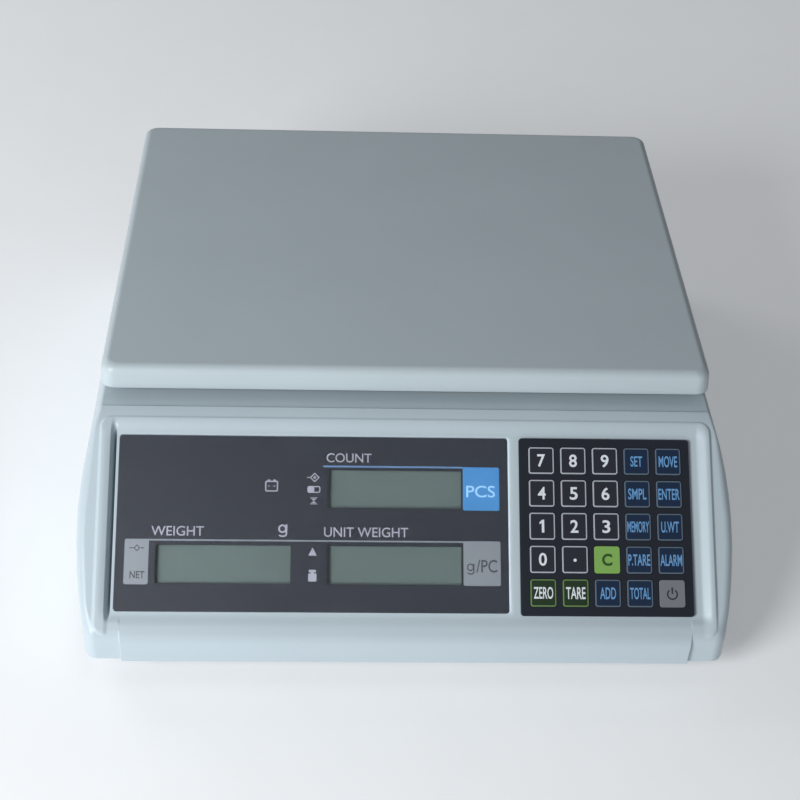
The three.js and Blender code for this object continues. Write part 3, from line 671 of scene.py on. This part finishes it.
def nose_rows():
    """Rows of the rounded nose, its small edge, and the start of the deck behind it."""
    y, z = on_slope(NOSE_START)
    start = pi / 2 + SLOPE
    cy, cz = y - NOSE_ROUND * cos(start), z - NOSE_ROUND * sin(start)
    rows = []
    for angle in steps(start, pi / 2 + NOSE_END, 40):
        rows.append(Row(cy + NOSE_ROUND * cos(angle), cz + NOSE_ROUND * sin(angle), angle))
    last = rows[-1]
    ey, ez = last.y - NOSE_EDGE * last.ny, last.z - NOSE_EDGE * last.nz
    for share in steps(0, 1, 6)[1:]:
        angle = mix(pi / 2 + NOSE_END, 0, share)
        y, z = ey + NOSE_EDGE * cos(angle), ez + NOSE_EDGE * sin(angle)
        row = Row(y, z, angle, LEAST_ROUND, BEYOND_RIM)
        row.ny = last.ny * (1 - share) ** 2
        row.nz = sqrt(1 - row.ny ** 2)
        rows.append(row)
    rows.append(Row(ey + NOSE_EDGE + NOSE_TO_DECK, DECK_Z, pi / 2, LEAST_ROUND, BEYOND_RIM))
    return rows


SHEET_Y = (-70.0, 150.0)  # the part of the deck with the holes
SHEET_X = 130.0
ROUNDER_FROM = 130.0  # from here back, the deck's edges grow rounder towards the back's corners
JACK = middle("power_jack")
JACK_REACH = 12  # the flat panel round the jack, from its middle
JACK_PANEL = (JACK.x - JACK_REACH, JACK.x + JACK_REACH, JACK.z - JACK_REACH, JACK.z + JACK_REACH)


def deck_rows():
    up = pi / 2
    ys = [-76, -74, *steps(*SHEET_Y, 11), 153, 156, BACK - BACK_ROUND]
    rows = []
    growth = BACK - BACK_ROUND - ROUNDER_FROM
    for y in ys:
        rounding = mix(LEAST_ROUND, BACK_ROUND, smooth((y - ROUNDER_FROM) / growth))
        rows.append(Row(y, DECK_Z, up, rounding, BEYOND_RIM))
    for angle in steps(up, 0, 8)[1:]:
        y = BACK - BACK_ROUND + BACK_ROUND * cos(angle)
        z = DECK_Z - BACK_ROUND + BACK_ROUND * sin(angle)
        rows.append(Row(y, z, angle, BACK_ROUND, BEYOND_RIM))
    for z in steps(DECK_Z - BACK_ROUND, RIM_Z, LEVELS)[1:]:
        rows.append(Row(BACK, z, 0, BACK_ROUND, BEYOND_RIM))
    return rows


def across_lines():
    """Where the lines down the housing stand: close together at the apron's ends and on the banks."""
    lines = [0, 20, 40, 60, 75, 90, 105, *JACK_PANEL[:2], 123]
    lines += [126.5, 128.5, *steps(130, 131.5, 10), 133, 134.6]
    for node in LCD_NODES:
        x = in_console(middle(node)).x
        lines += [abs(x - LCD_OPENING[0]), abs(x + LCD_OPENING[0])]
    lines += [FLAT_HALF, *steps(135.5, 138.7, 12), *steps(139.1, 143.9, 14)]
    return sorted({round(x, 3) for x in lines})


ROUNDING = 12  # segments round the case's long edges


def half_row(row, lines, side):
    """The row's points from the middle out to one side, with the rounding at the end."""
    inner = row.width - row.round
    squeeze = min(1.0, (inner - FLAT_HALF) / (lines[-1] - FLAT_HALF))
    points = []
    for x in lines:
        at = x if x <= FLAT_HALF else FLAT_HALF + (x - FLAT_HALF) * squeeze
        points.append(row.point(side * at))
    for angle in steps(0, pi / 2, ROUNDING)[0 if squeeze == 1.0 else 1:]:
        sink = row.round * (1 - cos(angle))
        width = half_width(row.y - row.ny * sink, row.z - row.nz * sink)
        points.append(row.point(side * (width - row.round * (1 - sin(angle))), sink, angle))
    if squeeze < 1.0:
        points.insert(len(lines) - 1, points[len(lines) - 1])
    return points


def row_points(row, lines):
    """The row's points from the left side to the right."""
    return list(reversed(half_row(row, lines, -1)[1:])) + half_row(row, lines, 1)


def case_rows():
    lip, meet = lip_rows()
    return lip + slope_rows(meet) + nose_rows() + deck_rows()


def build_top_housing():
    builder = Builder()
    rows = case_rows()
    lines = across_lines()
    points = [row_points(row, lines) for row in rows]
    vertices = [builder.loop(line) for line in points]
    on_deck = [r for r, row in enumerate(rows) if row.z == DECK_Z and SHEET_Y[0] <= row.y <= SHEET_Y[1]]
    jack_rows = [
        r for r, row in enumerate(rows)
        if row.y == BACK and JACK_PANEL[2] - NEAR <= row.z <= JACK_PANEL[3] + NEAR
    ]
    column_x = [x for x, _, _ in points[on_deck[0]]]

    def between(x0, x1):
        return [c for c, x in enumerate(column_x) if x0 - NEAR <= x <= x1 + NEAR]

    deck_columns = between(-SHEET_X, SHEET_X)
    jack_columns = between(*JACK_PANEL[:2])
    openings = []
    for node in LCD_NODES:
        at = in_console(middle(node))
        columns = between(at.x - LCD_OPENING[0], at.x + LCD_OPENING[0])
        inside = [
            r for r, row in enumerate(rows)
            if abs(row.s + at.y) <= LCD_OPENING[1] + NEAR and row.ny < -0.5
        ]
        openings.append((inside, columns))
    patches = [(on_deck, deck_columns), (jack_rows, jack_columns), *openings]

    def skip(r, c):
        return any(
            inside[0] <= r < inside[-1] and columns[0] <= c < columns[-1] for inside, columns in patches
        )

    builder.grid(vertices, 0, skip)

    def border(inside, columns):
        first, last = inside[0], inside[-1]
        left, right = columns[0], columns[-1]
        ring = [vertices[first][c] for c in columns]
        ring += [vertices[r][right] for r in inside[1:]]
        ring += [vertices[last][c] for c in reversed(columns[:-1])]
        ring += [vertices[r][left] for r in reversed(inside[1:-1])]
        return ring

    holes = [circle(*in_plan(f"support_cap_{corner}"), POST_HOLE) for corner in CORNERS]
    holes.append(circle(*in_plan("level_vial"), VIAL_HOLE))
    builder.sheet([border(on_deck, deck_columns), *(builder.loop(at_height(h, DECK_Z)) for h in holes)])
    jack_hole = builder.loop([(x, BACK, z) for x, z in circle(JACK.x, JACK.z, JACK_HOLE)])
    builder.sheet([border(jack_rows, jack_columns), jack_hole])
    for side in (-1, 1):
        build_side(builder, rows, side)
    piece = builder.object("case_top", [CASE], sharp=50)
    shell = piece.modifiers.new("wall", "SOLIDIFY")
    shell.thickness = WALL * MM
    shell.offset = -1
    finish(piece, "scale_body", "case", "top_housing")


def build_side(builder, rows, side):
    """The upright side under the rounding, in columns from the rounding down to the case's lower edge."""
    columns = []
    tops = [(row.y - row.ny * row.round, row.z - row.nz * row.round) for row in rows[LEVELS:-LEVELS]]
    for y, top in tops:
        columns.append(builder.loop((side * half_width(y, z), y, z) for z in steps(top, RIM_Z, LEVELS)))
    builder.grid(columns)


# ---- places that several pieces share
CORNERS = ("front_left", "front_right", "rear_left", "rear_right")
POST_HOLE = 12.0
VIAL_HOLE = 8.3
JACK_HOLE = 5.5


def in_plan(node):
    at = middle(node)
    return at.x, at.y


# ---- display window
WINDOW = (-134.0, 46.8, -96.0, -14.0)  # left, right, lower and upper edge
LENS_LOW, LENS_TOP, LENS_CORNER, LENS_EDGE = -0.9, 0.3, 1.5, 0.25
MASK_Z = -0.95
MASK_INSET, MASK_CORNER, MASK_THICKNESS = 0.15, 1.3, 0.1
PRINT_Z = -0.925
LCD_WINDOW = (30.9, 8.75)  # half of what shows of each LCD
# Each block of an LCD module: half its width and depth, its foot, its top, its edge and its material.
LCD_BLOCKS = (
    (36.0, 14.0, -8.1, -3.6, 0.4, 0),
    (32.7, 10.7, -3.6, -3.0, 0.15, 1),
)


def build_window():
    builder = Builder(ON_CONSOLE)
    solid_pad(builder, pad_loops(WINDOW, LENS_CORNER, LENS_LOW, LENS_TOP, LENS_EDGE))
    lens = builder.object("display_window", [LENS])
    finish(lens, "scale_body", "display_lens", "display_lens")

    builder = Builder(ON_CONSOLE)
    left, right, lower, upper = WINDOW
    outer = rounded_rectangle(
        left + MASK_INSET, right - MASK_INSET, lower + MASK_INSET, upper - MASK_INSET, MASK_CORNER
    )
    rings = [builder.loop(at_height(outer, MASK_Z))]
    for node in LCD_NODES:
        window = rounded_rectangle(*around(in_console(middle(node)), *LCD_WINDOW), 0.5, 3)
        rings.append(builder.loop(at_height(window, MASK_Z)))
    builder.sheet(rings)
    mask = builder.object("window_mask", [MASK])
    shell = mask.modifiers.new("film", "SOLIDIFY")
    shell.thickness = MASK_THICKNESS * MM
    shell.offset = -1
    finish(mask, "scale_body", "display_lens", "display_lens")
    build_printing()


def bar(builder, x0, x1, y0, y1, material, z=PRINT_Z):
    flat(builder, rectangle(x0, x1, y0, y1), z, material)


def line(builder, x0, x1, y, width, material):
    bar(builder, x0, x1, y - width / 2, y + width / 2, material)


def block(builder, x0, x1, y0, y1, radius, material, segments=4):
    flat(builder, rounded_rectangle(x0, x1, y0, y1, radius, segments), PRINT_Z, material)


# Each heading's words, its middle, and its width and height.
HEADINGS = (
    ("COUNT", (-27.4, -24.1), (21.0, 4.3)),
    ("UNIT WEIGHT", (-19.2, -58.9), (38.9, 4.5)),
    ("WEIGHT", (-105.9, -58.9), (24.1, 4.5)),
)
HEADING_BOLD = 0.004


def build_printing():
    """Headings, lines, unit boxes and signs printed behind the window."""
    builder = Builder(ON_CONSOLE)
    pale, grey, dark, blue, blue_line, sky = range(6)
    above = PRINT_Z + 0.01
    for words, at, size in HEADINGS:
        write(builder, words, *at, PRINT_Z, *size, pale, HEADING_BOLD)
    letter_g(builder, -57.7, -58.5, PRINT_Z, 4.2, 5.9, 0.8, pale)
    line(builder, -39.4, 25.9, -28.2, 0.8, blue_line)
    line(builder, -129.6, 26.0, -63.1, 0.7, grey)
    block(builder, 25.7, 42.7, -48.4, -28.0, 0.9, blue)
    block(builder, 25.8, 43.0, -83.3, -62.7, 0.9, grey)
    block(builder, -129.8, -118.8, -83.6, -62.8, 0.9, grey)
    write(builder, "PCS", 34.0, -39.4, above, 13.4, 5.5, sky, HEADING_BOLD)
    letter_g(builder, 29.1, -75.6, above, 3.5, 5.2, 0.6, dark)
    write(builder, "/PC", 36.6, -74.2, above, 9.8, 5.9, dark, 0.008)
    write(builder, "NET", -123.7, -79.2, above, 6.8, 3.4, dark, 0.022)
    zero_sign(builder, -124.2, -66.9, above, dark)
    battery_sign(builder, -63.2, -37.5, pale)
    centre_sign(builder, -43.9, -33.5, pale)
    level_sign(builder, -43.6, -39.1, pale)
    hourglass_sign(builder, -43.6, -44.5, pale)
    flat(builder, [(-45.7, -69.9), (-41.9, -69.9), (-43.8, -66.1)], PRINT_Z, pale)
    weight_sign(builder, -43.8, -79.1, pale)
    piece = builder.object("window_printing", [INK_PALE, INK_GREY, INK_DARK, INK_BLUE, INK_LINE, INK_SKY])
    place(piece, "scale_body", "display_lens")


def arc(x, y, across, up, start, end, segments=20):
    """Points along part of an oval, from one angle to another in degrees."""
    turns = [radians(a) for a in steps(start, end, segments)]
    return [(x + across * cos(a), y + up * sin(a)) for a in turns]


def letter_g(builder, x, y, z, width, height, stroke, material):
    """A small g with one bowl, a stem at its right and an open tail, in a box round x, y."""
    bowl_x, bowl_y = x - 0.03 * width, y + 0.16 * height
    bowl = (0.47 * width, 0.34 * height)
    outer = arc(bowl_x, bowl_y, *bowl, 0, 342, 24)
    inner = arc(bowl_x, bowl_y, bowl[0] - stroke, bowl[1] - stroke, 0, 342, 24)
    ring_band(builder, outer, inner, z, material)
    edge, turn = x + width / 2, y - 0.25 * height
    tail_outer = arc(x, turn, 0.5 * width, 0.25 * height, 0, -155)
    tail_inner = arc(x, turn, 0.5 * width - stroke, 0.25 * height - stroke, 0, -155)
    tail = [builder.loop(at_height(tail_outer, z)), builder.loop(at_height(tail_inner, z))]
    builder.grid(tail, material)
    bar(builder, edge - stroke, edge, turn, y + height / 2, material, z + 0.004)


def diamond(x, y, reach):
    return [(x - reach, y), (x, y - reach), (x + reach, y), (x, y + reach)]


def zero_sign(builder, x, y, z, material):
    """A short arrow into a small diamond from either side."""
    ring_band(builder, diamond(x, y, 1.6), diamond(x, y, 0.95), z, material)
    for side in (-1, 1):
        bar(builder, x + side * 1.7, x + side * 3.4, y - 0.25, y + 0.25, material, z)


def battery_sign(builder, x, y, material):
    outer = rounded_rectangle(x - 3.0, x + 3.0, y - 2.8, y + 2.3, 0.8, 4)
    inner = rounded_rectangle(x - 2.4, x + 2.4, y - 2.2, y + 1.7, 0.4, 4)
    ring_band(builder, outer, inner, PRINT_Z, material)
    for side in (-1, 1):
        middle_x = x + side * 1.3
        bar(builder, middle_x - 0.5, middle_x + 0.5, y + 2.3, y + 2.9, material)
        bar(builder, middle_x - 0.5, middle_x + 0.5, y - 0.4, y, material)


def centre_sign(builder, x, y, material):
    ring_band(builder, diamond(x + 0.6, y, 2.3), diamond(x + 0.6, y, 1.6), PRINT_Z, material)
    flat(builder, diamond(x + 0.6, y, 0.8), PRINT_Z, material)
    bar(builder, x - 3.0, x - 1.7, y - 0.25, y + 0.25, material)


def level_sign(builder, x, y, material):
    outer = rounded_rectangle(x - 3.0, x + 3.0, y - 1.6, y + 1.6, 0.9, 4)
    inner = rounded_rectangle(x - 2.5, x + 2.5, y - 1.1, y + 1.1, 0.5, 4)
    ring_band(builder, outer, inner, PRINT_Z, material)
    block(builder, x - 2.5, x + 0.2, y - 1.1, y + 1.1, 0.5, material)


def hourglass_sign(builder, x, y, material):
    for side in (-1, 1):
        edge = y + side * 1.6
        low, high = sorted((edge, edge - side * 0.4))
        bar(builder, x - 1.6, x + 1.6, low, high, material)
        flat(builder, [(x - 1.2, y + side * 1.0), (x, y), (x + 1.2, y + side * 1.0)], PRINT_Z, material)


def weight_sign(builder, x, y, material):
    """A laboratory weight: a knob on a square body."""
    body, neck, knob = (1.9, -2.7, 1.0, 0.4, 3), (0.7, 1.0, 1.5, 0.1, 2), (1.7, 1.5, 2.7, 0.5, 3)
    for half, low, high, radius, segments in (body, neck, knob):
        block(builder, x - half, x + half, y + low, y + high, radius, material, segments)


def build_lcd(node):
    at = in_console(middle(node))
    builder = Builder(ON_CONSOLE)
    for half_x, half_y, z0, z1, edge, material in LCD_BLOCKS:
        solid_pad(builder, pad_loops(around(at, half_x, half_y), 0.6, z0, z1, edge, 3), material)
    piece = builder.object(node + "_module", [LCD_FRAME, LCD], weld=1e-7)
    finish(piece, "scale_body", "lcd", node)


# ---- keypad
KEY_HALF = (5.95, 6.3)
KEY_ROUND, KEY_EDGE = 1.2, 0.14
KEY_GAP = 0.25
KEY_BOTTOM, KEY_TOP = -0.05, 0.55
WELL_Z = -0.6
FILM = (52.0, 132.3, -97.0, -14.0)  # left, right, lower and upper edge
FILM_LOW, FILM_TOP, FILM_CORNER, FILM_EDGE = -0.9, 0.3, 1.5, 0.2


def key_edges(node, grow):
    """Left, right, lower and upper edge of a key, let out by grow."""
    return around(in_console(middle(node)), KEY_HALF[0] + grow, KEY_HALF[1] + grow)


def build_keypad_film():
    builder = Builder(ON_CONSOLE)
    top = open_pad(builder, pad_loops(FILM, FILM_CORNER, FILM_LOW, FILM_TOP, FILM_EDGE))
    rims = []
    for row in KEY_ROWS:
        for node in row:
            outline = rounded_rectangle(*key_edges(node, KEY_GAP), KEY_ROUND + KEY_GAP, 4)
            rim = builder.loop(at_height(outline, FILM_TOP))
            floor = builder.loop(at_height(outline, WELL_Z))
            builder.bridge(rim, floor)
            builder.face(floor)
            rims.append(rim)
    builder.sheet([top, *rims])
    piece = builder.object("keypad_film", [MEMBRANE])
    finish(piece, "scale_body", "keypad", "keypad_membrane")


NUMBER = (KEY_NUMBER, INK_OUTLINE, INK_WHITE)
FUNCTION = (KEY_FUNCTION, INK_FUNCTION_LINE, INK_FUNCTION)
ZERO = (KEY_ZERO, INK_OLIVE, INK_WHITE)
CLEAR = (KEY_CLEAR, KEY_CLEAR, INK_LIME)
POWER = (KEY_POWER, KEY_POWER, INK_DARK)
# Each function key's legend, with its width and height.
FUNCTION_LEGENDS = {
    "key_set": ("SET", 5.6, 5.0),
    "key_move": ("MOVE", 8.7, 5.3),
    "key_sample": ("SMPL", 8.6, 5.2),
    "key_enter": ("ENTER", 10.0, 5.2),
    "key_memory": ("MEMORY", 10.2, 5.2),
    "key_unit_weight": ("U.WT", 8.3, 5.2),
    "key_preset_tare": ("P.TARE", 10.2, 5.3),
    "key_alarm": ("ALARM", 10.2, 5.3),
    "key_add": ("ADD", 7.4, 5.4),
    "key_total": ("TOTAL", 9.4, 5.4),
}
LEGEND_BOLD = 0.014
# The other keys' finishes, material slot, legend, and the legend's width, height and boldness.
LEGENDS = {
    "key_zero": (ZERO, "key_zero", "ZERO", 9.0, 5.5, LEGEND_BOLD),
    "key_tare": (ZERO, "key_zero", "TARE", 9.0, 5.5, LEGEND_BOLD),
    "key_clear": (CLEAR, "key_clear", "C", 4.8, 5.7, 0.035),
    "key_power": (POWER, "key_power", None, 0, 0, 0),
    "key_point": (NUMBER, "key_number", None, 0, 0, 0),
}
INK_Z = KEY_TOP + 0.02
STROKE = 0.6


def key_style(node):
    """A key's finishes, material slot, legend, and the legend's width, height and boldness."""
    if node in FUNCTION_LEGENDS:
        return (FUNCTION, "key_function", *FUNCTION_LEGENDS[node], LEGEND_BOLD)
    digit = (NUMBER, "key_number", node[-1], 3.7, 6.0, 0.018)
    return LEGENDS.get(node, digit)


def build_key(node):
    at = in_console(middle(node))
    finishes, slot, legend, width, height, bold = key_style(node)
    builder = Builder(ON_CONSOLE)
    outlines = pad_loops(key_edges(node, 0), KEY_ROUND, KEY_BOTTOM, KEY_TOP, KEY_EDGE, 5)
    loops = [builder.loop(outline) for outline in outlines]
    builder.face(list(reversed(loops[0])))
    builder.tube(loops, 1)
    field = rounded_rectangle(*key_edges(node, -STROKE), KEY_ROUND - STROKE, 5)
    field = builder.loop(at_height(field, KEY_TOP))
    builder.bridge(loops[-1], field, 1)
    builder.face(field, 0)
    if legend == "1":
        flat(builder, figure_one(at.x, at.y), INK_Z, 2)
    elif legend:
        write(builder, legend, at.x, at.y, INK_Z, width, height, 2, bold)
    elif node == "key_point":
        flat(builder, circle(at.x, at.y - 0.3, 0.75, 20), INK_Z, 2)
    else:
        power_sign(builder, at)
    piece = builder.object(node + "_cap", finishes, weld=1e-7)
    finish(piece, node, slot, node)


def figure_one(x, y):
    """The figure 1: a stem with a flag."""
    stem, left, top, foot = x + 0.9, x - 1.3, y + 3.0, y - 3.0
    flag = [(stem - 0.9, top), (left, top - 1.2), (left, top - 2.1), (stem - 1.15, top - 1.5)]
    return [(stem - 1.15, foot), (stem, foot), (stem, top), *flag]


def power_sign(builder, at):
    """A ring that is open at the top, with a stroke standing in the gap."""
    y = at.y - 0.3
    inner, outer = (arc(at.x, y, reach, reach, 125, 415, 28) for reach in (1.9, 2.6))
    builder.grid([builder.loop(at_height(inner, INK_Z)), builder.loop(at_height(outer, INK_Z))], 2)
    bar(builder, at.x - 0.38, at.x + 0.38, y + 0.2, y + 3.2, 2, INK_Z)


# ---- platter
PLATTER_LOW, PLATTER_HIGH = box_mm("platter")
PLATTER_EDGE = 4.2
PLATTER_ROUND = 7.0
PLATTER_WALL = 2.5
PLATTER_TOP = 3.0
SKIRT_DRAFT = 0.6
SOCKET = (9.0, 12.0, 4.0)  # bore, outside and depth of the rings that sit on the posts' caps


def platter_loop(inset, z):
    low, high = PLATTER_LOW, PLATTER_HIGH
    radius = PLATTER_ROUND - 0.5 * inset
    outline = rounded_rectangle(low.x + inset, high.x - inset, low.y + inset, high.y - inset, radius, 10)
    return at_height(outline, z)


def build_platter():
    builder = Builder()
    low, top = PLATTER_LOW.z, PLATTER_HIGH.z
    ceiling = top - PLATTER_TOP
    loops = [platter_loop(PLATTER_WALL + 0.2, ceiling - 1.5), platter_loop(PLATTER_WALL, low + 0.3)]
    loops += [platter_loop(PLATTER_WALL - 0.4, low), platter_loop(0.5, low), platter_loop(0.0, low + 0.5)]
    loops.append(platter_loop(0.3 * SKIRT_DRAFT, low + 3))
    for angle in steps(0, pi / 2, 10):
        inset = SKIRT_DRAFT + PLATTER_EDGE * (1 - cos(angle))
        loops.append(platter_loop(inset, top - PLATTER_EDGE + PLATTER_EDGE * sin(angle)))
    rings = [builder.loop(l) for l in loops]
    builder.tube(rings)
    builder.face(rings[-1])
    inner = builder.loop(platter_loop(PLATTER_WALL + 1.7, ceiling))
    builder.bridge(inner, rings[0])
    bore, outside, depth = SOCKET
    sockets = []
    for corner in CORNERS:
        x, y = in_plan(f"support_cap_{corner}")
        outer_side = ((outside + 0.8, 0), (outside, -0.8), (outside, 0.3 - depth), (outside - 0.3, -depth))
        bore_side = ((bore + 0.4, -depth), (bore, 0.4 - depth), (bore, 0))
        socket = revolve(builder, lifted(outer_side + bore_side, ceiling), x, y, 40)
        builder.face(socket[-1])
        sockets.append(socket[0])
    builder.sheet([inner, *sockets])
    piece = builder.object("platter_top", [PLATTER], sharp=60)
    finish(piece, "platter", "platter", "platter")


# ---- small round pieces
CAP_BORE, CAP_TOP = 7.3, 3.0
WHEEL_HEIGHT = 5.4
KNURLS, KNURL_DEPTH = 18, 0.7
STUD, THREAD_DEPTH, THREAD_HEIGHT, THREAD_PITCH = 3.9, 0.5, 0.9, 1.25


def build_cap(corner):
    """Rubber cap pushed over a post of the platter's support."""
    node = f"support_cap_{corner}"
    low, high = box_mm(node)
    x, y = in_plan(node)
    radius = (high.x - low.x) / 2
    builder = Builder()
    profile = [(CAP_BORE, high.z - CAP_TOP)]
    profile += lifted(((CAP_BORE, 0), (radius - 0.4, 0), (radius, 0.4)), low.z)
    dome = ((radius, -1.6), (radius - 0.3, -0.8), (radius - 1, -0.2), (radius - 1.9, 0), (ON_AXIS, 0))
    rings = revolve(builder, profile + lifted(dome, high.z), x, y, 40)
    builder.face(list(reversed(rings[0])))
    piece = builder.object(node + "_rubber", [RUBBER])
    finish(piece, "weigh_support", "rubber", node)


def build_foot(corner):
    """Knurled wheel on a threaded stud, over a rubber pad."""
    screw, sole = f"foot_screw_{corner}", f"foot_pad_{corner}"
    low, high = box_mm(screw)
    x, y = in_plan(sole)
    radius = (high.x - low.x) / 2
    wheel_top = low.z + WHEEL_HEIGHT
    profile = lifted(((ON_AXIS, 0), (radius - 1.6, 0), (radius - 0.5, 0.3), (radius, 1.0)), low.z)
    profile += lifted(((radius, -1.0), (radius - 0.5, -0.3), (radius - 1.6, 0)), wheel_top)
    profile += lifted(((STUD + 2.4, 0), (STUD + 2.0, 0.3), (STUD, 0.4)), wheel_top)
    thread = ((STUD, 0), (STUD - THREAD_DEPTH, THREAD_HEIGHT / 2), (STUD, THREAD_HEIGHT))
    z = wheel_top + 1.0
    while z < high.z - 1.5:
        profile += lifted(thread, z)
        z += THREAD_PITCH
    profile += [(STUD - 0.6, high.z), (ON_AXIS, high.z)]
    builder = Builder()
    knurled = (low.z + 0.2, wheel_top - 0.2)
    revolve(builder, profile, x, y, 72, lobes=KNURLS, lobe_depth=KNURL_DEPTH, lobed=knurled)
    wheel = builder.object(screw + "_wheel", [BLACK_PLASTIC], sharp=50)
    finish(wheel, screw, "foot_plastic", screw)
    low, high = box_mm(sole)
    radius = (high.x - low.x) / 2
    builder = Builder()
    profile = lifted(((ON_AXIS, 0), (radius - 0.5, 0), (radius, -0.5)), high.z)
    profile += lifted(((radius, 0.9), (radius - 0.3, 0.3), (radius - 1, 0)), low.z)
    profile += lifted(((radius - 3, 0), (radius - 3.4, 0.4), (ON_AXIS, 0.4)), low.z)
    revolve(builder, profile, x, y)
    pad = builder.object(sole + "_rubber", [RUBBER])
    finish(pad, sole, "rubber", sole)


def build_vial():
    """Round spirit level: a clear dome in a flanged cup, with its liquid, bubble and printed ring."""
    low, high = box_mm("level_vial")
    x, y = in_plan("level_vial")
    cup, flange = 8.0, (high.x - low.x) / 2
    builder = Builder()
    profile = [(ON_AXIS, low.z), (cup, low.z), (cup, DECK_Z + 0.3), (flange, DECK_Z + 0.3)]
    rim = ((flange, -0.5), (flange - 0.4, 0), (7.2, 0), (6.8, -0.4), (6.8, -3), (ON_AXIS, -3))
    revolve(builder, profile + lifted(rim, high.z), x, y)
    dome = ((6.7, -2.6), (6.7, -0.9), (5.0, -0.5), (2.5, -0.3), (ON_AXIS, -0.25))
    bottom = revolve(builder, lifted(dome, high.z), x, y, material=1)[0]
    builder.face(list(reversed(bottom)), 1)
    liquid = ((6.6, -2.8), (ON_AXIS, -2.75))
    revolve(builder, lifted(liquid, high.z), x, y, material=2)
    bubble = ((2.2, -2.7), (1.6, -2.65), (ON_AXIS, -2.64))
    revolve(builder, lifted(bubble, high.z), x + 0.6, y + 0.4, 32, 3)
    mark = ((3.2, -2.69), (2.9, -2.69))
    revolve(builder, lifted(mark, high.z), x, y, material=4)
    piece = builder.object("level_vial_body", [VIAL_BODY, VIAL_CLEAR, VIAL_LIQUID, VIAL_BUBBLE, RUBBER])
    finish(piece, "scale_body", "vial", "level_vial")


# ---- CAD pieces that stay
KEPT = {
    CAST: ("chassis", "platter_support"),
    MILLED: ("load_cell",),
    STEEL: (
        "housing_screw_left", "housing_screw_right",
        "load_cell_base_bolt_inner", "load_cell_base_bolt_outer",
        "load_cell_top_bolt_inner", "load_cell_top_bolt_outer",
    ),
    BASE: ("base_housing", "battery_door"),
    BOARD: ("main_board",),
    BLACK_PLASTIC: ("battery", "power_jack", "load_cell_cable"),
}
# Width of the bevel on the pieces whose edges are softened.
SOFTENED = {
    "base_housing": 0.5,
    "battery_door": 0.3,
    "platter_support": 0.5,
    "chassis": 0.5,
    "battery": 1.0,
    "power_jack": 0.25,
    "load_cell": 0.4,
}


def finish_kept():
    for material, nodes in KEPT.items():
        for node in nodes:
            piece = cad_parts[node]
            piece.data.materials.clear()
            piece.data.materials.append(material)
            if node in SOFTENED:
                bevel = piece.modifiers.new("softened_edges", "BEVEL")
                bevel.width = SOFTENED[node] * MM
                bevel.segments = 2
                bevel.limit_method = "ANGLE"
                bevel.angle_limit = radians(40)


# ---- everything
make_camera()
make_stage()
build_top_housing()
build_window()
for lcd in LCD_NODES:
    build_lcd(lcd)
build_keypad_film()
for key_row in KEY_ROWS:
    for key in key_row:
        build_key(key)
build_platter()
for corner in CORNERS:
    build_cap(corner)
    build_foot(corner)
build_vial()
finish_kept()
